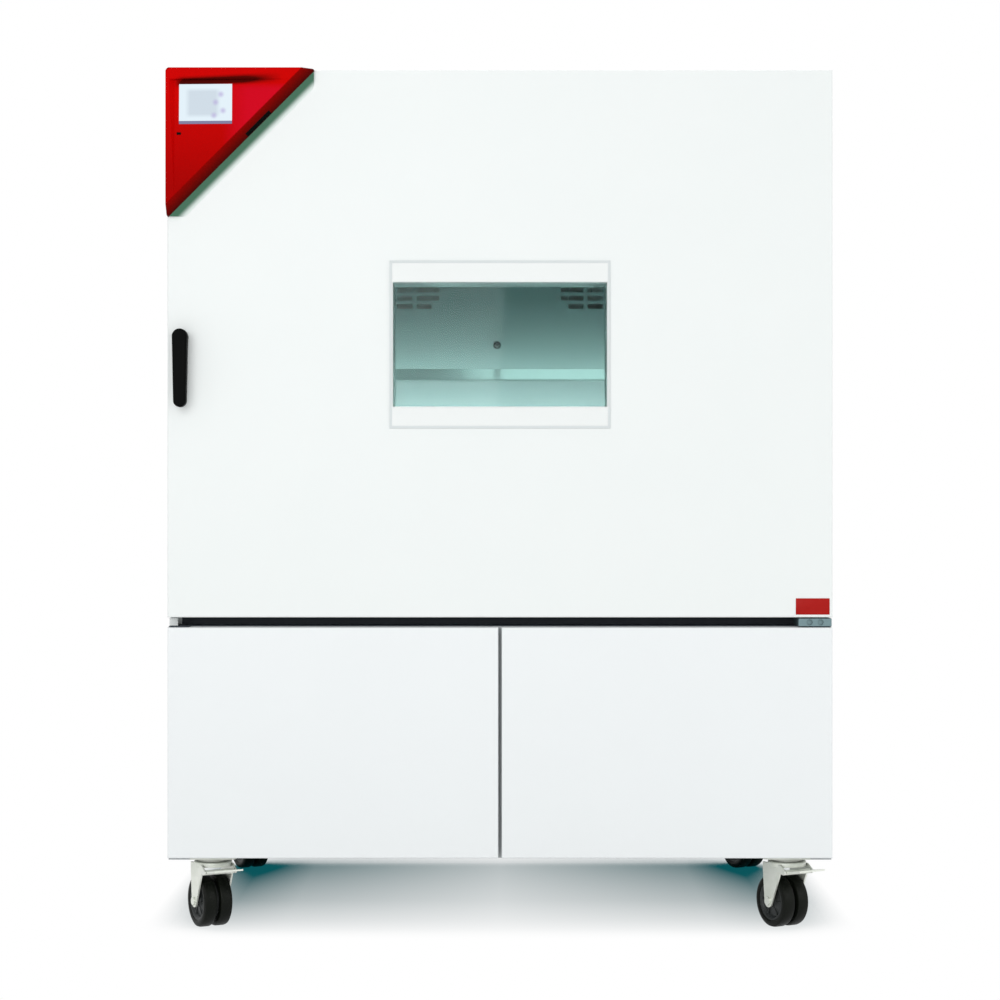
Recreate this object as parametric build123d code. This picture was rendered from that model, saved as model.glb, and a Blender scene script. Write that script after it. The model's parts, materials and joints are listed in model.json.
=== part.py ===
from build123d import *
import os
from math import sqrt

os.makedirs("parts", exist_ok=True)

# Axes: +X to the right, +Y to the back, +Z up. The origin is on the floor below the middle of the chamber.

# Envelope of the cabinet
cabinet_width = 1570.0
cabinet_depth = 980.0
cabinet_top = 2040.0
caster_height = 175.0
service_top = 724.0
door_bottom = 748.0
handle_reach = 45.0
rear_reach = 40.0
side_reach = 27.0

# Sheet metal and fits
sheet = 2.0
frame_steel = 3.0
flange = 18.0
clear = 0.3
running = 0.1
seam = 1.0
cut = 1.0

# Main door
door_thickness = 95.0
gasket_gap = 14.0
gasket_width = 30.0
gasket_inset = 50.0
pad_proud = 30.0
pad_clearance = 15.0
pad_corner = 20.0
hinge_inset = 35.0
hinge_setback = 25.0
hinge_pin_radius = 8.0
hinge_pin_length = 33.0
hinge_plate_width = 78.0
hinge_arm_width = 29.0
hinge_arm_height = 18.0
hinge_notch_height = 34.0
hinge_notch_width = 85.0
hinge_screw_radius = 7.0
hinge_screw_recess = 6.0
hinge_screw_pitch = 26.0
skin_lip = 6.0
bend_radius = 3.0

# Window in the door
window_width = 505.0
window_height = 293.0
window_center_z = 1392.0
window_border = 5.5
window_band = 43.5
window_frame_depth = 3.0
window_chamfer = 1.8
pane_thickness = 5.0
inner_panes = 3

# Chamber and its insulation
side_wall = 185.0
end_wall = 136.0
duct_depth = 150.0
rear_insulation = 120.0
chamber_gasket_width = 25.0
chamber_gasket_inset = 13.0

# Rear baffle and its air outlets
baffle_step_low = 1346.0
baffle_step_high = 1375.0
baffle_step = 20.0
intake_height = 45.0
outlet_start = 183.0
outlet_low = 1536.0
louvre_width = 40.0
louvre_height = 13.0
louvre_pitch_x = 51.0
louvre_pitch_z = 22.0
louvre_columns = 5
louvre_rows = 11
short_louvre_width = 19.0

# Circulation fans
fan_x = 297.0
fan_z = 1660.0
fan_radius = 100.0
fan_hub_radius = 22.0
fan_width = 60.0
fan_blades = 8
fan_blade_length = 60.0
fan_blade_turn = 30.0
fan_shaft_radius = 8.0
fan_plate = 3.0
fan_offset = 45.0
shaft_hole_radius = 10.0
motor_radius = 55.0
motor_length = 80.0
motor_clearance = 4.0
motor_bore = 30.0
motor_round = 11.0

# Evaporator, heater, probe and lamps
evaporator_width = 960.0
evaporator_height = 300.0
evaporator_depth = 100.0
evaporator_low = 940.0
fin_count = 25
fin_thickness = 1.5
coil_tube_radius = 6.0
coil_tube_rows = 5
heater_width = 900.0
heater_rod_radius = 5.0
heater_low = 1290.0
heater_pitch = 40.0
heater_rods = 4
probe_x = -8.0
probe_z = 1439.0
probe_radius = 6.5
probe_collar_radius = 10.5
probe_reach = 60.0
lamp_x = 300.0
lamp_setback = 120.0
lamp_radius = 35.0
lamp_height = 12.0

# Shelf and its supports
shelf_z = 1110.0
shelf_depth = 500.0
shelf_front_gap = 70.0
shelf_wires = 18
shelf_bars = 2
wire_radius = 3.0
rim_radius = 4.0
rim_width = 10.0
rim_corner = 20.0
rail_width = 30.0
rail_margin = 20.0
rail_inset = 40.0
bearer_width = 16.0
bearer_height = 12.0

# Access port
port_radius = 40.0
port_wall = 4.0
port_flange = 16.0
port_flange_thickness = 3.0
port_y = -60.0
port_z = 1394.0
plug_length = 120.0
plug_grip_radius = 18.0
plug_head_thickness = 8.0

# Main switch and rear connections
switch_size = 66.0
switch_base_depth = 12.0
switch_y = 60.0
switch_z = 560.0
switch_grip_width = 16.0
switch_radius = 26.0
switch_spindle_radius = 6.0
interface_width = 180.0
interface_height = 120.0
interface_x = -672.0
interface_z = 360.0
gland_radius = 15.0
gland_nut_radius = 19.0
socket_width = 34.0
socket_height = 14.0
fitting_x = 640.0
inlet_z = 390.0
drain_z = 290.0
inlet_radius = 13.2
inlet_length = 16.0
drain_radius = 7.0
drain_length = 25.0
fitting_hexagon_margin = 4.5
fitting_bore_share = 0.6
fitting_flange_radius = 20.0

# Service doors and machine compartment
service_thickness = 30.0
service_gap = 5.0
service_split = 8.0
service_pivot_inset = 10.0
service_pin_radius = 4.0
service_pin_length = 18.0
service_boss_radius = 8.0
ear_depth = 28.0
ear_reach = 50.0
channel = 50.0
post = 40.0
post_width = 60.0

# Refrigeration and machine parts on the tray
condenser_inset = 455.0
condenser_z = 470.0
compressor_inset = 405.0
compressor_setback = 365.0
compressor_radius = 115.0
compressor_height = 360.0
compressor_round = 52.0
compressor_foot = 20.0
condenser_width = 560.0
condenser_height = 400.0
condenser_depth = 60.0
condenser_stand_off = 30.0
condenser_fins = 20
shroud_depth = 70.0
condenser_fan_radius = 165.0
condenser_fan_hub = 40.0
condenser_fan_blades = 6
condenser_blade_depth = 30.0
condenser_ring_depth = 35.0
condenser_blade_turn = 30.0
fan_gap = 1.0
condenser_motor_length = 60.0
condenser_strut = 14.0
box_width = 300.0
box_depth = 200.0
box_height = 420.0
box_inset = 225.0
box_setback = 155.0
boiler_radius = 80.0
boiler_height = 330.0
boiler_inset = 165.0
boiler_setback = 175.0
canister_width = 320.0
canister_depth = 240.0
canister_height = 380.0
canister_inset = 495.0
canister_setback = 165.0
canister_round = 32.0
canister_cap_radius = 27.0
receiver_radius = 60.0
receiver_length = 300.0
receiver_inset = 260.0
receiver_setback = 120.0
pipe_radius = 8.0
pipe_bend = 45.0
suction_rise = 55.0
suction_reach = 170.0
liquid_reach = 112.0
steam_pipe_radius = 12.0
vent_columns = 4
vent_rows = 14
vent_pitch_x = 130.0
vent_pitch_z = 25.0
vent_slot_length = 110.0
vent_slot_height = 10.0

# Controller on the door
controller_leg = 340.0
controller_depth = 33.0
controller_corner = 8.0
controller_bevel = 25.0
controller_skirt = 8.0
controller_skirt_reach = 10.0
controller_top_band = 32.0
controller_side_band = 24.0
controller_sink = 14.0
screen_left = 31.0
screen_top = 38.0
screen_width = 125.0
screen_height = 94.0
screen_thickness = 4.0
screen_proud = 0.6
port_slot_left = 25.0
port_slot_top = 153.0
port_slot_width = 12.0
port_slot_height = 5.0
vent_length = 78.0
vent_width = 10.0
vent_depth = 5.0

# Handle
handle_inset = 34.0
handle_top = 1427.0
handle_length = 184.0
handle_top_radius = 18.0
handle_bottom_radius = 15.0
handle_thickness = 24.0
handle_round = 5.0
handle_boss_radius = 16.0
spindle_radius = 7.0
spindle_blind = 14.0
cam_reach = 28.0
cam_width = 12.0
cam_thickness = 5.0
keeper_width = 38.0
keeper_height = 80.0
keeper_lip = 4.0
keeper_plate = 3.0

# Casters
caster_inset = 96.0
caster_turn = -62.0
wheel_radius = 62.5
wheel_width = 72.0
wheel_split = 8.0
tyre_thickness = 16.0
tyre_round = 7.0
axle_radius = 6.0
axle_head_radius = 10.0
trail = 20.0
caster_plate_length = 120.0
caster_plate_width = 100.0
caster_plate = 6.0
raceway_radius = 36.0
raceway_height = 8.0
crown_radius = 46.0
crown_height = 12.0
kingpin_radius = 10.0
kingpin_length = 10.0
leg_thickness = 4.0
leg_gap = 1.0
leg_foot_radius = 15.0
leg_head_back = 42.0
leg_head_front = 30.0
pedal_pivot_x = 44.0
pedal_pivot_drop = 20.0
pedal_pin_radius = 3.0
pedal_knuckle_radius = 6.0
pedal_reach = 60.0
pedal_rise = 10.0
pedal_thickness = 4.0

# Places that follow from the sizes above
half_width = cabinet_width / 2
total_depth = handle_reach + door_thickness + gasket_gap + cabinet_depth + rear_reach
door_front = handle_reach - total_depth / 2
door_back = door_front + door_thickness
cabinet_front = door_back + gasket_gap
cabinet_back = cabinet_front + cabinet_depth
wall_inside = half_width - sheet
flange_edge = wall_inside - flange
service_front = door_front
service_back = service_front + service_thickness
lower_front = service_back + service_gap
frame_front = lower_front + sheet
frame_back = cabinet_back - sheet
condenser_x = condenser_inset - half_width
compressor_x = half_width - compressor_inset
compressor_y = frame_back - compressor_setback
receiver_x = compressor_x - receiver_inset
receiver_y = compressor_y - receiver_setback
box_x = box_inset - half_width
box_y = frame_front + box_setback
boiler_x = half_width - boiler_inset
boiler_y = frame_front + boiler_setback
canister_x = half_width - canister_inset
canister_y = frame_front + canister_setback
ledge_low = service_top + seam
ledge_top = ledge_low + sheet
roof_low = cabinet_top - sheet
ear_top = caster_height + frame_steel
service_bottom = ear_top + seam
half_chamber = half_width - side_wall
liner_half = half_chamber + sheet
chamber_floor = door_bottom + end_wall
chamber_top = cabinet_top - end_wall
liner_low = chamber_floor - sheet
liner_top = chamber_top + sheet
insulation_front = cabinet_front + sheet
insulation_back = frame_back - motor_clearance - motor_length
liner_back = insulation_back - rear_insulation
duct_back = liner_back - sheet
baffle_y = duct_back - duct_depth - sheet
hinge_x = half_width - hinge_inset
hinge_y = door_front + hinge_setback
handle_x = handle_inset - half_width
handle_z = handle_top - handle_top_radius
tray_top = caster_height + channel
tray_face = tray_top + sheet
half_window = window_width / 2
window_low = window_center_z - window_height / 2
window_high = window_center_z + window_height / 2
pad_back = door_back + pad_proud
shelf_front = cabinet_front + pad_proud - gasket_gap + shelf_front_gap
shelf_back = shelf_front + shelf_depth

caster_places = {
    "front_left": (caster_inset - half_width, door_front + caster_inset),
    "front_right": (half_width - caster_inset, door_front + caster_inset),
    "rear_left": (caster_inset - half_width, cabinet_back - caster_inset),
    "rear_right": (half_width - caster_inset, cabinet_back - caster_inset),
}
plate_low = caster_height - caster_plate
crown_top = plate_low - raceway_height - clear
crown_low = crown_top - crown_height
leg_inside = wheel_width / 2 + leg_gap
leg_outside = leg_inside + leg_thickness
pedal_pivot_z = crown_low - pedal_pivot_drop / 2


def rect(a_low, a_high, b_low, b_high, corner=0.0):
    """Outline of a rectangle between two pairs of edges, with rounded corners if asked."""
    width = a_high - a_low
    height = b_high - b_low
    face = RectangleRounded(width, height, corner) if corner else Rectangle(width, height)
    return Pos((a_low + a_high) / 2, (b_low + b_high) / 2) * face


def along_x(face, x_low, x_high):
    """Solid of an outline drawn in Y and Z, between two places in X."""
    return extrude(Plane.YZ.offset(x_low) * face, x_high - x_low)


def along_y(face, y_low, y_high):
    """Solid of an outline drawn in X and Z, between two places in Y."""
    return extrude(Plane.XZ.offset(-y_high) * face, y_high - y_low)


def along_z(face, z_low, z_high):
    """Solid of an outline drawn in X and Y, between two heights."""
    return extrude(Plane.XY.offset(z_low) * face, z_high - z_low)


def block(x_low, x_high, y_low, y_high, z_low, z_high):
    """Rectangular solid between its six faces."""
    return along_z(rect(x_low, x_high, y_low, y_high), z_low, z_high)


def disc(radius, a, b):
    """Circle outline about a point."""
    return Pos(a, b) * Circle(radius)


def outline(points):
    """Closed outline through a few corner points."""
    return Polygon(*points, align=None)


def group(shapes):
    """Keeps loose solids of one kind together as one sub-part."""
    return Compound([solid for shape in shapes for solid in shape.solids()])


def both_sides(shape):
    """A piece and its mirror image on the other side of the cabinet."""
    return group([shape, mirror(shape, Plane.YZ)])


# Cabinet


def hinge_ear(z_low, z_high, pin_low, pin_high):
    """Right-hand ear that carries one upright pin of a service door."""
    x_low = half_width - ear_reach
    ear = block(x_low, wall_inside, lower_front - ear_depth, lower_front, z_low, z_high)
    ear += block(x_low, flange_edge, lower_front, frame_front, z_low, z_high)
    pin_x = half_width - service_pivot_inset
    pin_y = service_front + service_thickness / 2
    ear += along_z(disc(service_pin_radius, pin_x, pin_y), pin_low, pin_high)
    return ear


def channel_bar(face_low, face_high, web_low):
    """Section of an open channel between two edges, with its web on the low or the high edge."""
    bar = rect(face_low, face_high, caster_height, tray_top)
    low = face_low + frame_steel if web_low else face_low - cut
    high = face_high + cut if web_low else face_high - frame_steel
    return bar - rect(low, high, caster_height + frame_steel, tray_top - frame_steel)


def frame_corner():
    """Members at the right-hand end of the frame: posts, gussets, side channel and side rail."""
    x_post = wall_inside - post
    x_bar = wall_inside - channel
    rail_low = ledge_low - post
    reach = caster_inset + caster_plate_length / 2
    bars = [along_y(channel_bar(x_bar, wall_inside, False), frame_front + channel, frame_back - channel)]
    bars.append(block(x_post, wall_inside, frame_front + post, frame_back - post, rail_low, ledge_low))
    for y_low in (frame_front, frame_back - post):
        bars.append(block(x_post, wall_inside, y_low, y_low + post, tray_top, rail_low))
    gussets = ((frame_front + channel, door_front + reach), (cabinet_back - reach, frame_back - channel))
    for y_low, y_high in gussets:
        bars.append(block(half_width - reach, x_bar, y_low, y_high, caster_height, caster_height + frame_steel))
    pin_high = service_bottom + service_pin_length
    bars.append(hinge_ear(caster_height, ear_top, ear_top, pin_high))
    return group(bars)


def base_frame():
    """Welded frame: open channels round the floor, posts, rails, machine tray, deck and gussets."""
    rail_low = ledge_low - post
    bars = [both_sides(frame_corner())]
    for y_low, y_high, web_low in ((frame_front, frame_front + channel, True),
                                   (frame_back - channel, frame_back, False)):
        bars.append(along_x(channel_bar(y_low, y_high, web_low), -wall_inside, wall_inside))
    for y_low in (frame_front, frame_back - post):
        bars.append(block(-wall_inside, wall_inside, y_low, y_low + post, rail_low, ledge_low))
    half = post_width / 2
    bars.append(block(-half, half, frame_front, frame_front + post, tray_top, rail_low))
    tray_x = wall_inside - post
    bars.append(block(-tray_x, tray_x, frame_front + post, frame_back - post, tray_top, tray_top + sheet))
    bars.append(block(-wall_inside, wall_inside, insulation_front, frame_back, ledge_low, ledge_top))
    return group(bars)


def side_panel(lip_top):
    """Right side panel: an upper and a lower web with flanges at the front and rear edges."""
    web_split = door_bottom - frame_steel
    return group([
        block(wall_inside, half_width, lower_front, cabinet_back, caster_height, web_split),
        block(wall_inside, half_width, cabinet_front, cabinet_back, web_split, roof_low),
        block(flange_edge, wall_inside, cabinet_front, insulation_front, ledge_top, roof_low),
        block(flange_edge, wall_inside, lower_front, frame_front, ear_top, lip_top),
        block(flange_edge, wall_inside, frame_back, cabinet_back, caster_height, roof_low),
    ])


def side_panel_right():
    """Right side panel, whose front lip stops below the hinge bracket."""
    return side_panel(ledge_low)


def side_panel_left():
    """Left side panel, with the hole for the access port."""
    panel = mirror(side_panel(door_bottom - frame_steel), Plane.YZ)
    port = along_x(disc(port_radius + port_wall, port_y, port_z), -half_width - cut, cut - wall_inside)
    return group([member - port for member in panel.solids()])


def top_panel():
    """Roof sheet of the cabinet, with a shallow crease round its edge."""
    roof = block(-half_width, half_width, cabinet_front, cabinet_back, roof_low, cabinet_top)
    crease = rect(flange - half_width, half_width - flange, cabinet_front + flange, cabinet_back - flange)
    return roof - along_z(crease - offset(crease, -sheet), cabinet_top - sheet / 2, cabinet_top + cut)


def rear_panel_upper():
    """Upper rear cover between the side flanges."""
    return block(-flange_edge, flange_edge, frame_back, cabinet_back, door_bottom, roof_low)


def rear_panel_lower():
    """Lower rear cover with rows of air slots in front of the condenser."""
    panel = block(-flange_edge, flange_edge, frame_back, cabinet_back, caster_height, door_bottom)
    slots = []
    for column in range(vent_columns):
        for row in range(vent_rows):
            x = condenser_x + (column - (vent_columns - 1) / 2) * vent_pitch_x
            z = condenser_z + (row - (vent_rows - 1) / 2) * vent_pitch_z
            slot = Pos(x, z) * SlotOverall(vent_slot_length, vent_slot_height)
            slots.append(slot)
    return panel - along_y(Sketch() + slots, frame_back - cut, cabinet_back + cut)


def front_collar():
    """Face strips round the chamber mouth and the ledge below them, with the ears of the service doors."""
    bars = []
    for z_low, z_high in ((ledge_top, liner_low), (liner_top, roof_low)):
        bars.append(block(-flange_edge, flange_edge, cabinet_front, insulation_front, z_low, z_high))
    side = block(liner_half, flange_edge, cabinet_front, insulation_front, liner_low, liner_top)
    bars.append(both_sides(side))
    bars.append(block(-wall_inside, wall_inside, frame_front, insulation_front, ledge_low, ledge_top))
    pin_low = service_top - service_pin_length
    bars.append(both_sides(hinge_ear(ledge_low, ledge_top, pin_low, ledge_low)))
    return group(bars)


def chamber_liner():
    """Stainless chamber, open at the front: floor, ceiling, two sides and a back, welded at their edges."""
    port = disc(port_radius + port_wall, port_y, port_z)
    floor = block(-liner_half, liner_half, cabinet_front, liner_back, liner_low, chamber_floor)
    ceiling = block(-liner_half, liner_half, cabinet_front, liner_back, chamber_top, liner_top)
    back = block(-half_chamber, half_chamber, duct_back, liner_back, chamber_floor, chamber_top)
    for side in (-1, 1):
        back -= along_y(disc(shaft_hole_radius, side * fan_x, fan_z), duct_back - cut, liner_back + cut)
    right = block(half_chamber, liner_half, cabinet_front, liner_back, chamber_floor, chamber_top)
    left = mirror(right, Plane.YZ) - along_x(port, -liner_half - cut, cut - half_chamber)
    return group([floor, ceiling, back, right, left])


def cabinet_insulation():
    """Insulation slabs below, above, behind and beside the chamber."""
    below = block(-wall_inside, wall_inside, insulation_front, insulation_back, ledge_top, liner_low)
    above = block(-wall_inside, wall_inside, insulation_front, insulation_back, liner_top, roof_low)
    behind = block(-liner_half, liner_half, liner_back, insulation_back, liner_low, liner_top)
    for side in (-1, 1):
        behind -= along_y(disc(shaft_hole_radius, side * fan_x, fan_z), liner_back, insulation_back)
    right = block(liner_half, wall_inside, insulation_front, insulation_back, liner_low, liner_top)
    left = mirror(right, Plane.YZ)
    left -= along_x(disc(port_radius + port_wall, port_y, port_z), -wall_inside, -liner_half)
    return group([below, above, behind, right, left])


def rear_baffle():
    """Bent air baffle in front of the duct, with louvred outlets before the fans."""
    low_y = baffle_y - baffle_step
    profile = outline([
        (low_y, chamber_floor + intake_height),
        (low_y + sheet, chamber_floor + intake_height),
        (low_y + sheet, baffle_step_low),
        (baffle_y + sheet, baffle_step_high),
        (baffle_y + sheet, chamber_top),
        (baffle_y, chamber_top),
        (baffle_y, baffle_step_high),
        (low_y, baffle_step_low),
    ])
    plate = along_x(profile, -half_chamber, half_chamber)
    slots = []
    for row in range(louvre_rows):
        z = outlet_low + row * louvre_pitch_z
        cells = [(outlet_start + n * louvre_pitch_x, louvre_width) for n in range(louvre_columns)]
        if row:
            cells.append((outlet_start - short_louvre_width - sheet, short_louvre_width))
        for x, width in cells:
            slots.append(rect(x, x + width, z, z + louvre_height))
            slots.append(rect(-x - width, -x, z, z + louvre_height))
    plate -= along_y(Sketch() + slots, baffle_y - cut, baffle_y + sheet + cut)
    return plate - along_y(disc(probe_radius, probe_x, probe_z), baffle_y - cut, baffle_y + sheet + cut)


def circulation_fan(side):
    """One circulation fan: back plate, hub, blades and the shaft to its motor."""
    center_x = side * fan_x
    plate_y = baffle_y + fan_offset + fan_width
    fan = along_y(disc(fan_radius, center_x, fan_z), plate_y, plate_y + fan_plate)
    fan += along_y(disc(fan_hub_radius, center_x, fan_z), plate_y - fan_width, plate_y)
    blade = Pos(0, fan_blade_length) * Rot(0, 0, fan_blade_turn) * Rectangle(fan_plate, fan_blade_length)
    for step in range(fan_blades):
        turned = Pos(center_x, fan_z) * Rot(0, 0, step * 360 / fan_blades) * blade
        fan += along_y(turned, plate_y - fan_width, plate_y)
    shaft = disc(fan_shaft_radius, center_x, fan_z)
    return fan + along_y(shaft, plate_y, insulation_back + motor_bore - clear)


def fan_motors():
    """Two fan motors behind the insulation, each with a bore for its shaft."""
    motor = along_y(disc(motor_radius, fan_x, fan_z), insulation_back, insulation_back + motor_length)
    motor = fillet(motor.edges().group_by(Axis.Y)[-1], motor_round)
    bore = disc(fan_shaft_radius + running, fan_x, fan_z)
    motor -= along_y(bore, insulation_back - cut, insulation_back + motor_bore)
    return both_sides(motor)


def evaporator_coil():
    """Finned evaporator between two end plates that stand off the duct's rear wall."""
    half = evaporator_width / 2
    y_high = duct_back - coil_tube_radius * 2
    y_low = y_high - evaporator_depth
    z_high = evaporator_low + evaporator_height
    coil = block(-half, half, y_low, duct_back, evaporator_low, z_high)
    coil -= block(frame_steel - half, half - frame_steel, y_low - cut, duct_back + cut, evaporator_low - cut,
                  z_high + cut)
    pitch = evaporator_width / fin_count
    for step in range(1, fin_count):
        x = step * pitch - half
        coil += block(x, x + fin_thickness, y_low, y_high, evaporator_low, z_high)
    row_pitch = evaporator_height / coil_tube_rows
    tubes = []
    for row in range(coil_tube_rows):
        z = evaporator_low + (row + 0.5) * row_pitch
        tubes.append(disc(coil_tube_radius, (y_low + y_high) / 2, z))
    return coil + along_x(Sketch() + tubes, -half - coil_tube_radius, half + coil_tube_radius)


def heater_element():
    """Tubular heater: long rods joined by end brackets on the duct's rear wall."""
    half = heater_width / 2
    rod_y = duct_back - duct_depth / 2
    z_high = heater_low + (heater_rods - 1) * heater_pitch
    heater = Part()
    for step in range(heater_rods):
        z = heater_low + step * heater_pitch
        heater += along_x(disc(heater_rod_radius, rod_y, z), -half, half)
    for side in (-1, 1):
        x_low, x_high = sorted((side * half, side * (half - frame_steel)))
        heater += block(x_low, x_high, rod_y - heater_rod_radius * 2, duct_back,
                        heater_low - heater_pitch / 2, z_high + heater_pitch / 2)
    return heater


def temperature_probe():
    """Sensor probe that stands out of the baffle."""
    probe = along_y(disc(probe_radius, probe_x, probe_z), baffle_y - probe_reach, baffle_y + sheet)
    probe = fillet(probe.edges().group_by(Axis.Y)[0], probe_radius / 2)
    collar = disc(probe_collar_radius, probe_x, probe_z)
    return probe + along_y(collar, baffle_y - sheet, baffle_y)


def led_lamps():
    """Two round lamps under the chamber's ceiling."""
    lamp_y = cabinet_front + lamp_setback
    lamp = along_z(disc(lamp_radius, lamp_x, lamp_y), chamber_top - lamp_height, chamber_top)
    lamp = chamfer(lamp.edges().group_by(Axis.Z)[0], lamp_height / 3)
    return both_sides(lamp)


def shelf_supports():
    """Upright rails on the side walls with a level bearer for the shelf on each side."""
    x_low = half_chamber - rail_margin
    rails = Part()
    rail_low = chamber_floor + rail_inset
    rail_high = chamber_top - rail_inset
    for y in (shelf_front + rail_inset, shelf_back - rail_inset - rail_width):
        rails += block(x_low, half_chamber, y, y + rail_width, rail_low, rail_high)
        rails -= block(x_low + sheet, half_chamber + cut, y + sheet, y + rail_width - sheet,
                       rail_low - cut, rail_high + cut)
    bearer_top = shelf_z - rim_radius - clear
    bearer = block(x_low - bearer_width, x_low, shelf_front, shelf_back, bearer_top - bearer_height, bearer_top)
    bearer -= block(x_low - bearer_width - cut, x_low - sheet, shelf_front - cut, shelf_back + cut,
                    bearer_top - bearer_height - cut, bearer_top - sheet)
    return both_sides(rails + bearer)


def shelf_rack():
    """Wire shelf: a flat-bar rim with cross wires and two stiffening bars under them."""
    half = half_chamber - rail_margin - clear
    frame = rect(-half, half, shelf_front, shelf_back, rim_corner)
    rack = along_z(frame - offset(frame, -rim_width), shelf_z - rim_radius, shelf_z + rim_radius)
    pitch = 2 * half / (shelf_wires + 1)
    wires = [disc(wire_radius, (step + 1) * pitch - half, shelf_z) for step in range(shelf_wires)]
    rack += along_y(Sketch() + wires, shelf_front + rim_width / 2, shelf_back - rim_width / 2)
    bar_pitch = shelf_depth / (shelf_bars + 1)
    for step in range(shelf_bars):
        y = shelf_front + (step + 1) * bar_pitch
        rack += block(pitch - half, half - pitch, y - wire_radius, y + wire_radius, shelf_z - rim_radius, shelf_z)
    return rack


def gasket(half_outer, z_low, z_high, width, y_low, y_high):
    """Rubber seal round a rectangular opening."""
    outer = rect(-half_outer, half_outer, z_low, z_high, width)
    inner = rect(width - half_outer, half_outer - width, z_low + width, z_high - width, width / 3)
    return along_y(outer - inner, y_low, y_high)


def chamber_gasket():
    """Seal on the collar, close round the chamber mouth."""
    spread = chamber_gasket_inset + chamber_gasket_width
    return gasket(liner_half + spread, liner_low - spread, liner_top + spread, chamber_gasket_width,
                  door_back + clear, cabinet_front)


def access_port():
    """Lined hole through the left wall, with a flange at each end."""
    outer = disc(port_radius + port_wall, port_y, port_z)
    bore = disc(port_radius, port_y, port_z)
    rim = disc(port_radius + port_flange, port_y, port_z)
    sleeve = along_x(outer, -half_width, -half_chamber)
    sleeve += along_x(rim, -half_width - port_flange_thickness, -half_width)
    sleeve += along_x(rim, -half_chamber, port_flange_thickness - half_chamber)
    return sleeve - along_x(bore, -half_width - port_flange_thickness - cut,
                            port_flange_thickness - half_chamber + cut)


def access_port_plug():
    """Silicone plug of the access port, with a head and a grip outside."""
    face = -half_width - port_flange_thickness
    plug = along_x(disc(port_radius - clear, port_y, port_z), face, face + plug_length)
    plug += along_x(disc(port_radius + port_flange / 2, port_y, port_z), face - clear - plug_head_thickness,
                    face - clear)
    plug += along_x(disc(port_radius - clear, port_y, port_z), face - clear - cut, face + cut)
    return plug + along_x(disc(plug_grip_radius, port_y, port_z), -half_width - side_reach,
                          face - plug_head_thickness)


def main_switch_base():
    """Square base of the main switch on the right side panel."""
    half = switch_size / 2
    face = rect(switch_y - half, switch_y + half, switch_z - half, switch_z + half, switch_size / 8)
    base = along_x(face, half_width, half_width + switch_base_depth)
    socket = disc(switch_spindle_radius + running, switch_y, switch_z)
    return base - along_x(socket, half_width + sheet, half_width + switch_base_depth + cut)


def main_switch_knob():
    """Rotary knob of the main switch: a disc with a grip bar and a short spindle."""
    face = half_width + switch_base_depth + clear
    outer = half_width + side_reach
    knob = along_x(disc(switch_radius, switch_y, switch_z), face, face + frame_steel)
    half = switch_grip_width / 2
    grip = rect(switch_y - half, switch_y + half, switch_z - switch_radius, switch_z + switch_radius, half / 2)
    knob += along_x(grip, face, outer)
    return knob + along_x(disc(switch_spindle_radius, switch_y, switch_z), half_width + sheet + clear, face)


def interface_panel():
    """Rear connection plate with two sockets and the cable gland of the mains lead."""
    half = interface_width / 2
    half_high = interface_height / 2
    plate = along_y(rect(interface_x - half, interface_x + half, interface_z - half_high,
                         interface_z + half_high, gland_radius / 3), cabinet_back, cabinet_back + sheet)
    for step in (0, 1):
        z = interface_z + (step - 0.5) * socket_height * 2
        x = interface_x - half / 2
        shell = rect(x - socket_width / 2, x + socket_width / 2, z - socket_height / 2, z + socket_height / 2,
                     socket_height / 4)
        well = offset(shell, -sheet)
        plate += along_y(shell, cabinet_back + sheet, cabinet_back + socket_height)
        plate -= along_y(well, cabinet_back + sheet, cabinet_back + socket_height + cut)
    nut = Pos(interface_x + half / 2, interface_z) * RegularPolygon(gland_nut_radius, 6)
    dome = disc(gland_radius, interface_x + half / 2, interface_z)
    bore = disc(gland_radius / 2, interface_x + half / 2, interface_z)
    nut_face = cabinet_back + sheet + gland_radius / 2
    plate += along_y(nut, cabinet_back + sheet, nut_face)
    plate += along_y(dome, nut_face, nut_face + gland_radius)
    return plate - along_y(bore, cabinet_back - cut, nut_face + gland_radius + cut)


def water_fitting(z, radius, length):
    """One rear water connection: a round flange, a hexagon and a plain spigot."""
    tip = cabinet_back + rear_reach
    hexagon = Pos(fitting_x, z) * RegularPolygon(radius + fitting_hexagon_margin, 6)
    fitting = along_y(disc(fitting_flange_radius, fitting_x, z), cabinet_back, cabinet_back + frame_steel)
    fitting += along_y(hexagon, cabinet_back + frame_steel, tip - length)
    fitting += along_y(disc(radius, fitting_x, z), tip - length, tip)
    return fitting - along_y(disc(radius * fitting_bore_share, fitting_x, z), cabinet_back + frame_steel, tip + cut)


def water_fittings():
    """Fresh water inlet and, below it, the condensate drain nozzle."""
    inlet = water_fitting(inlet_z, inlet_radius, inlet_length)
    drain = water_fitting(drain_z, drain_radius, drain_length)
    return group([inlet, drain])


# Machine compartment

def compressor():
    """Hermetic compressor: a domed shell on a foot plate, turned as one profile."""
    low = tray_face + compressor_foot
    high = low + compressor_height
    shell = along_z(disc(compressor_radius, compressor_x, compressor_y), low, high)
    shell = fillet(shell.edges(), compressor_round)
    belt = along_z(disc(compressor_radius + frame_steel, compressor_x, compressor_y),
                   low + compressor_height / 2, low + compressor_height / 2 + compressor_foot)
    foot = rect(compressor_x - compressor_radius, compressor_x + compressor_radius,
                compressor_y - compressor_radius, compressor_y + compressor_radius, compressor_foot)
    return shell + belt + along_z(foot, tray_face, low + compressor_foot)


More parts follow.
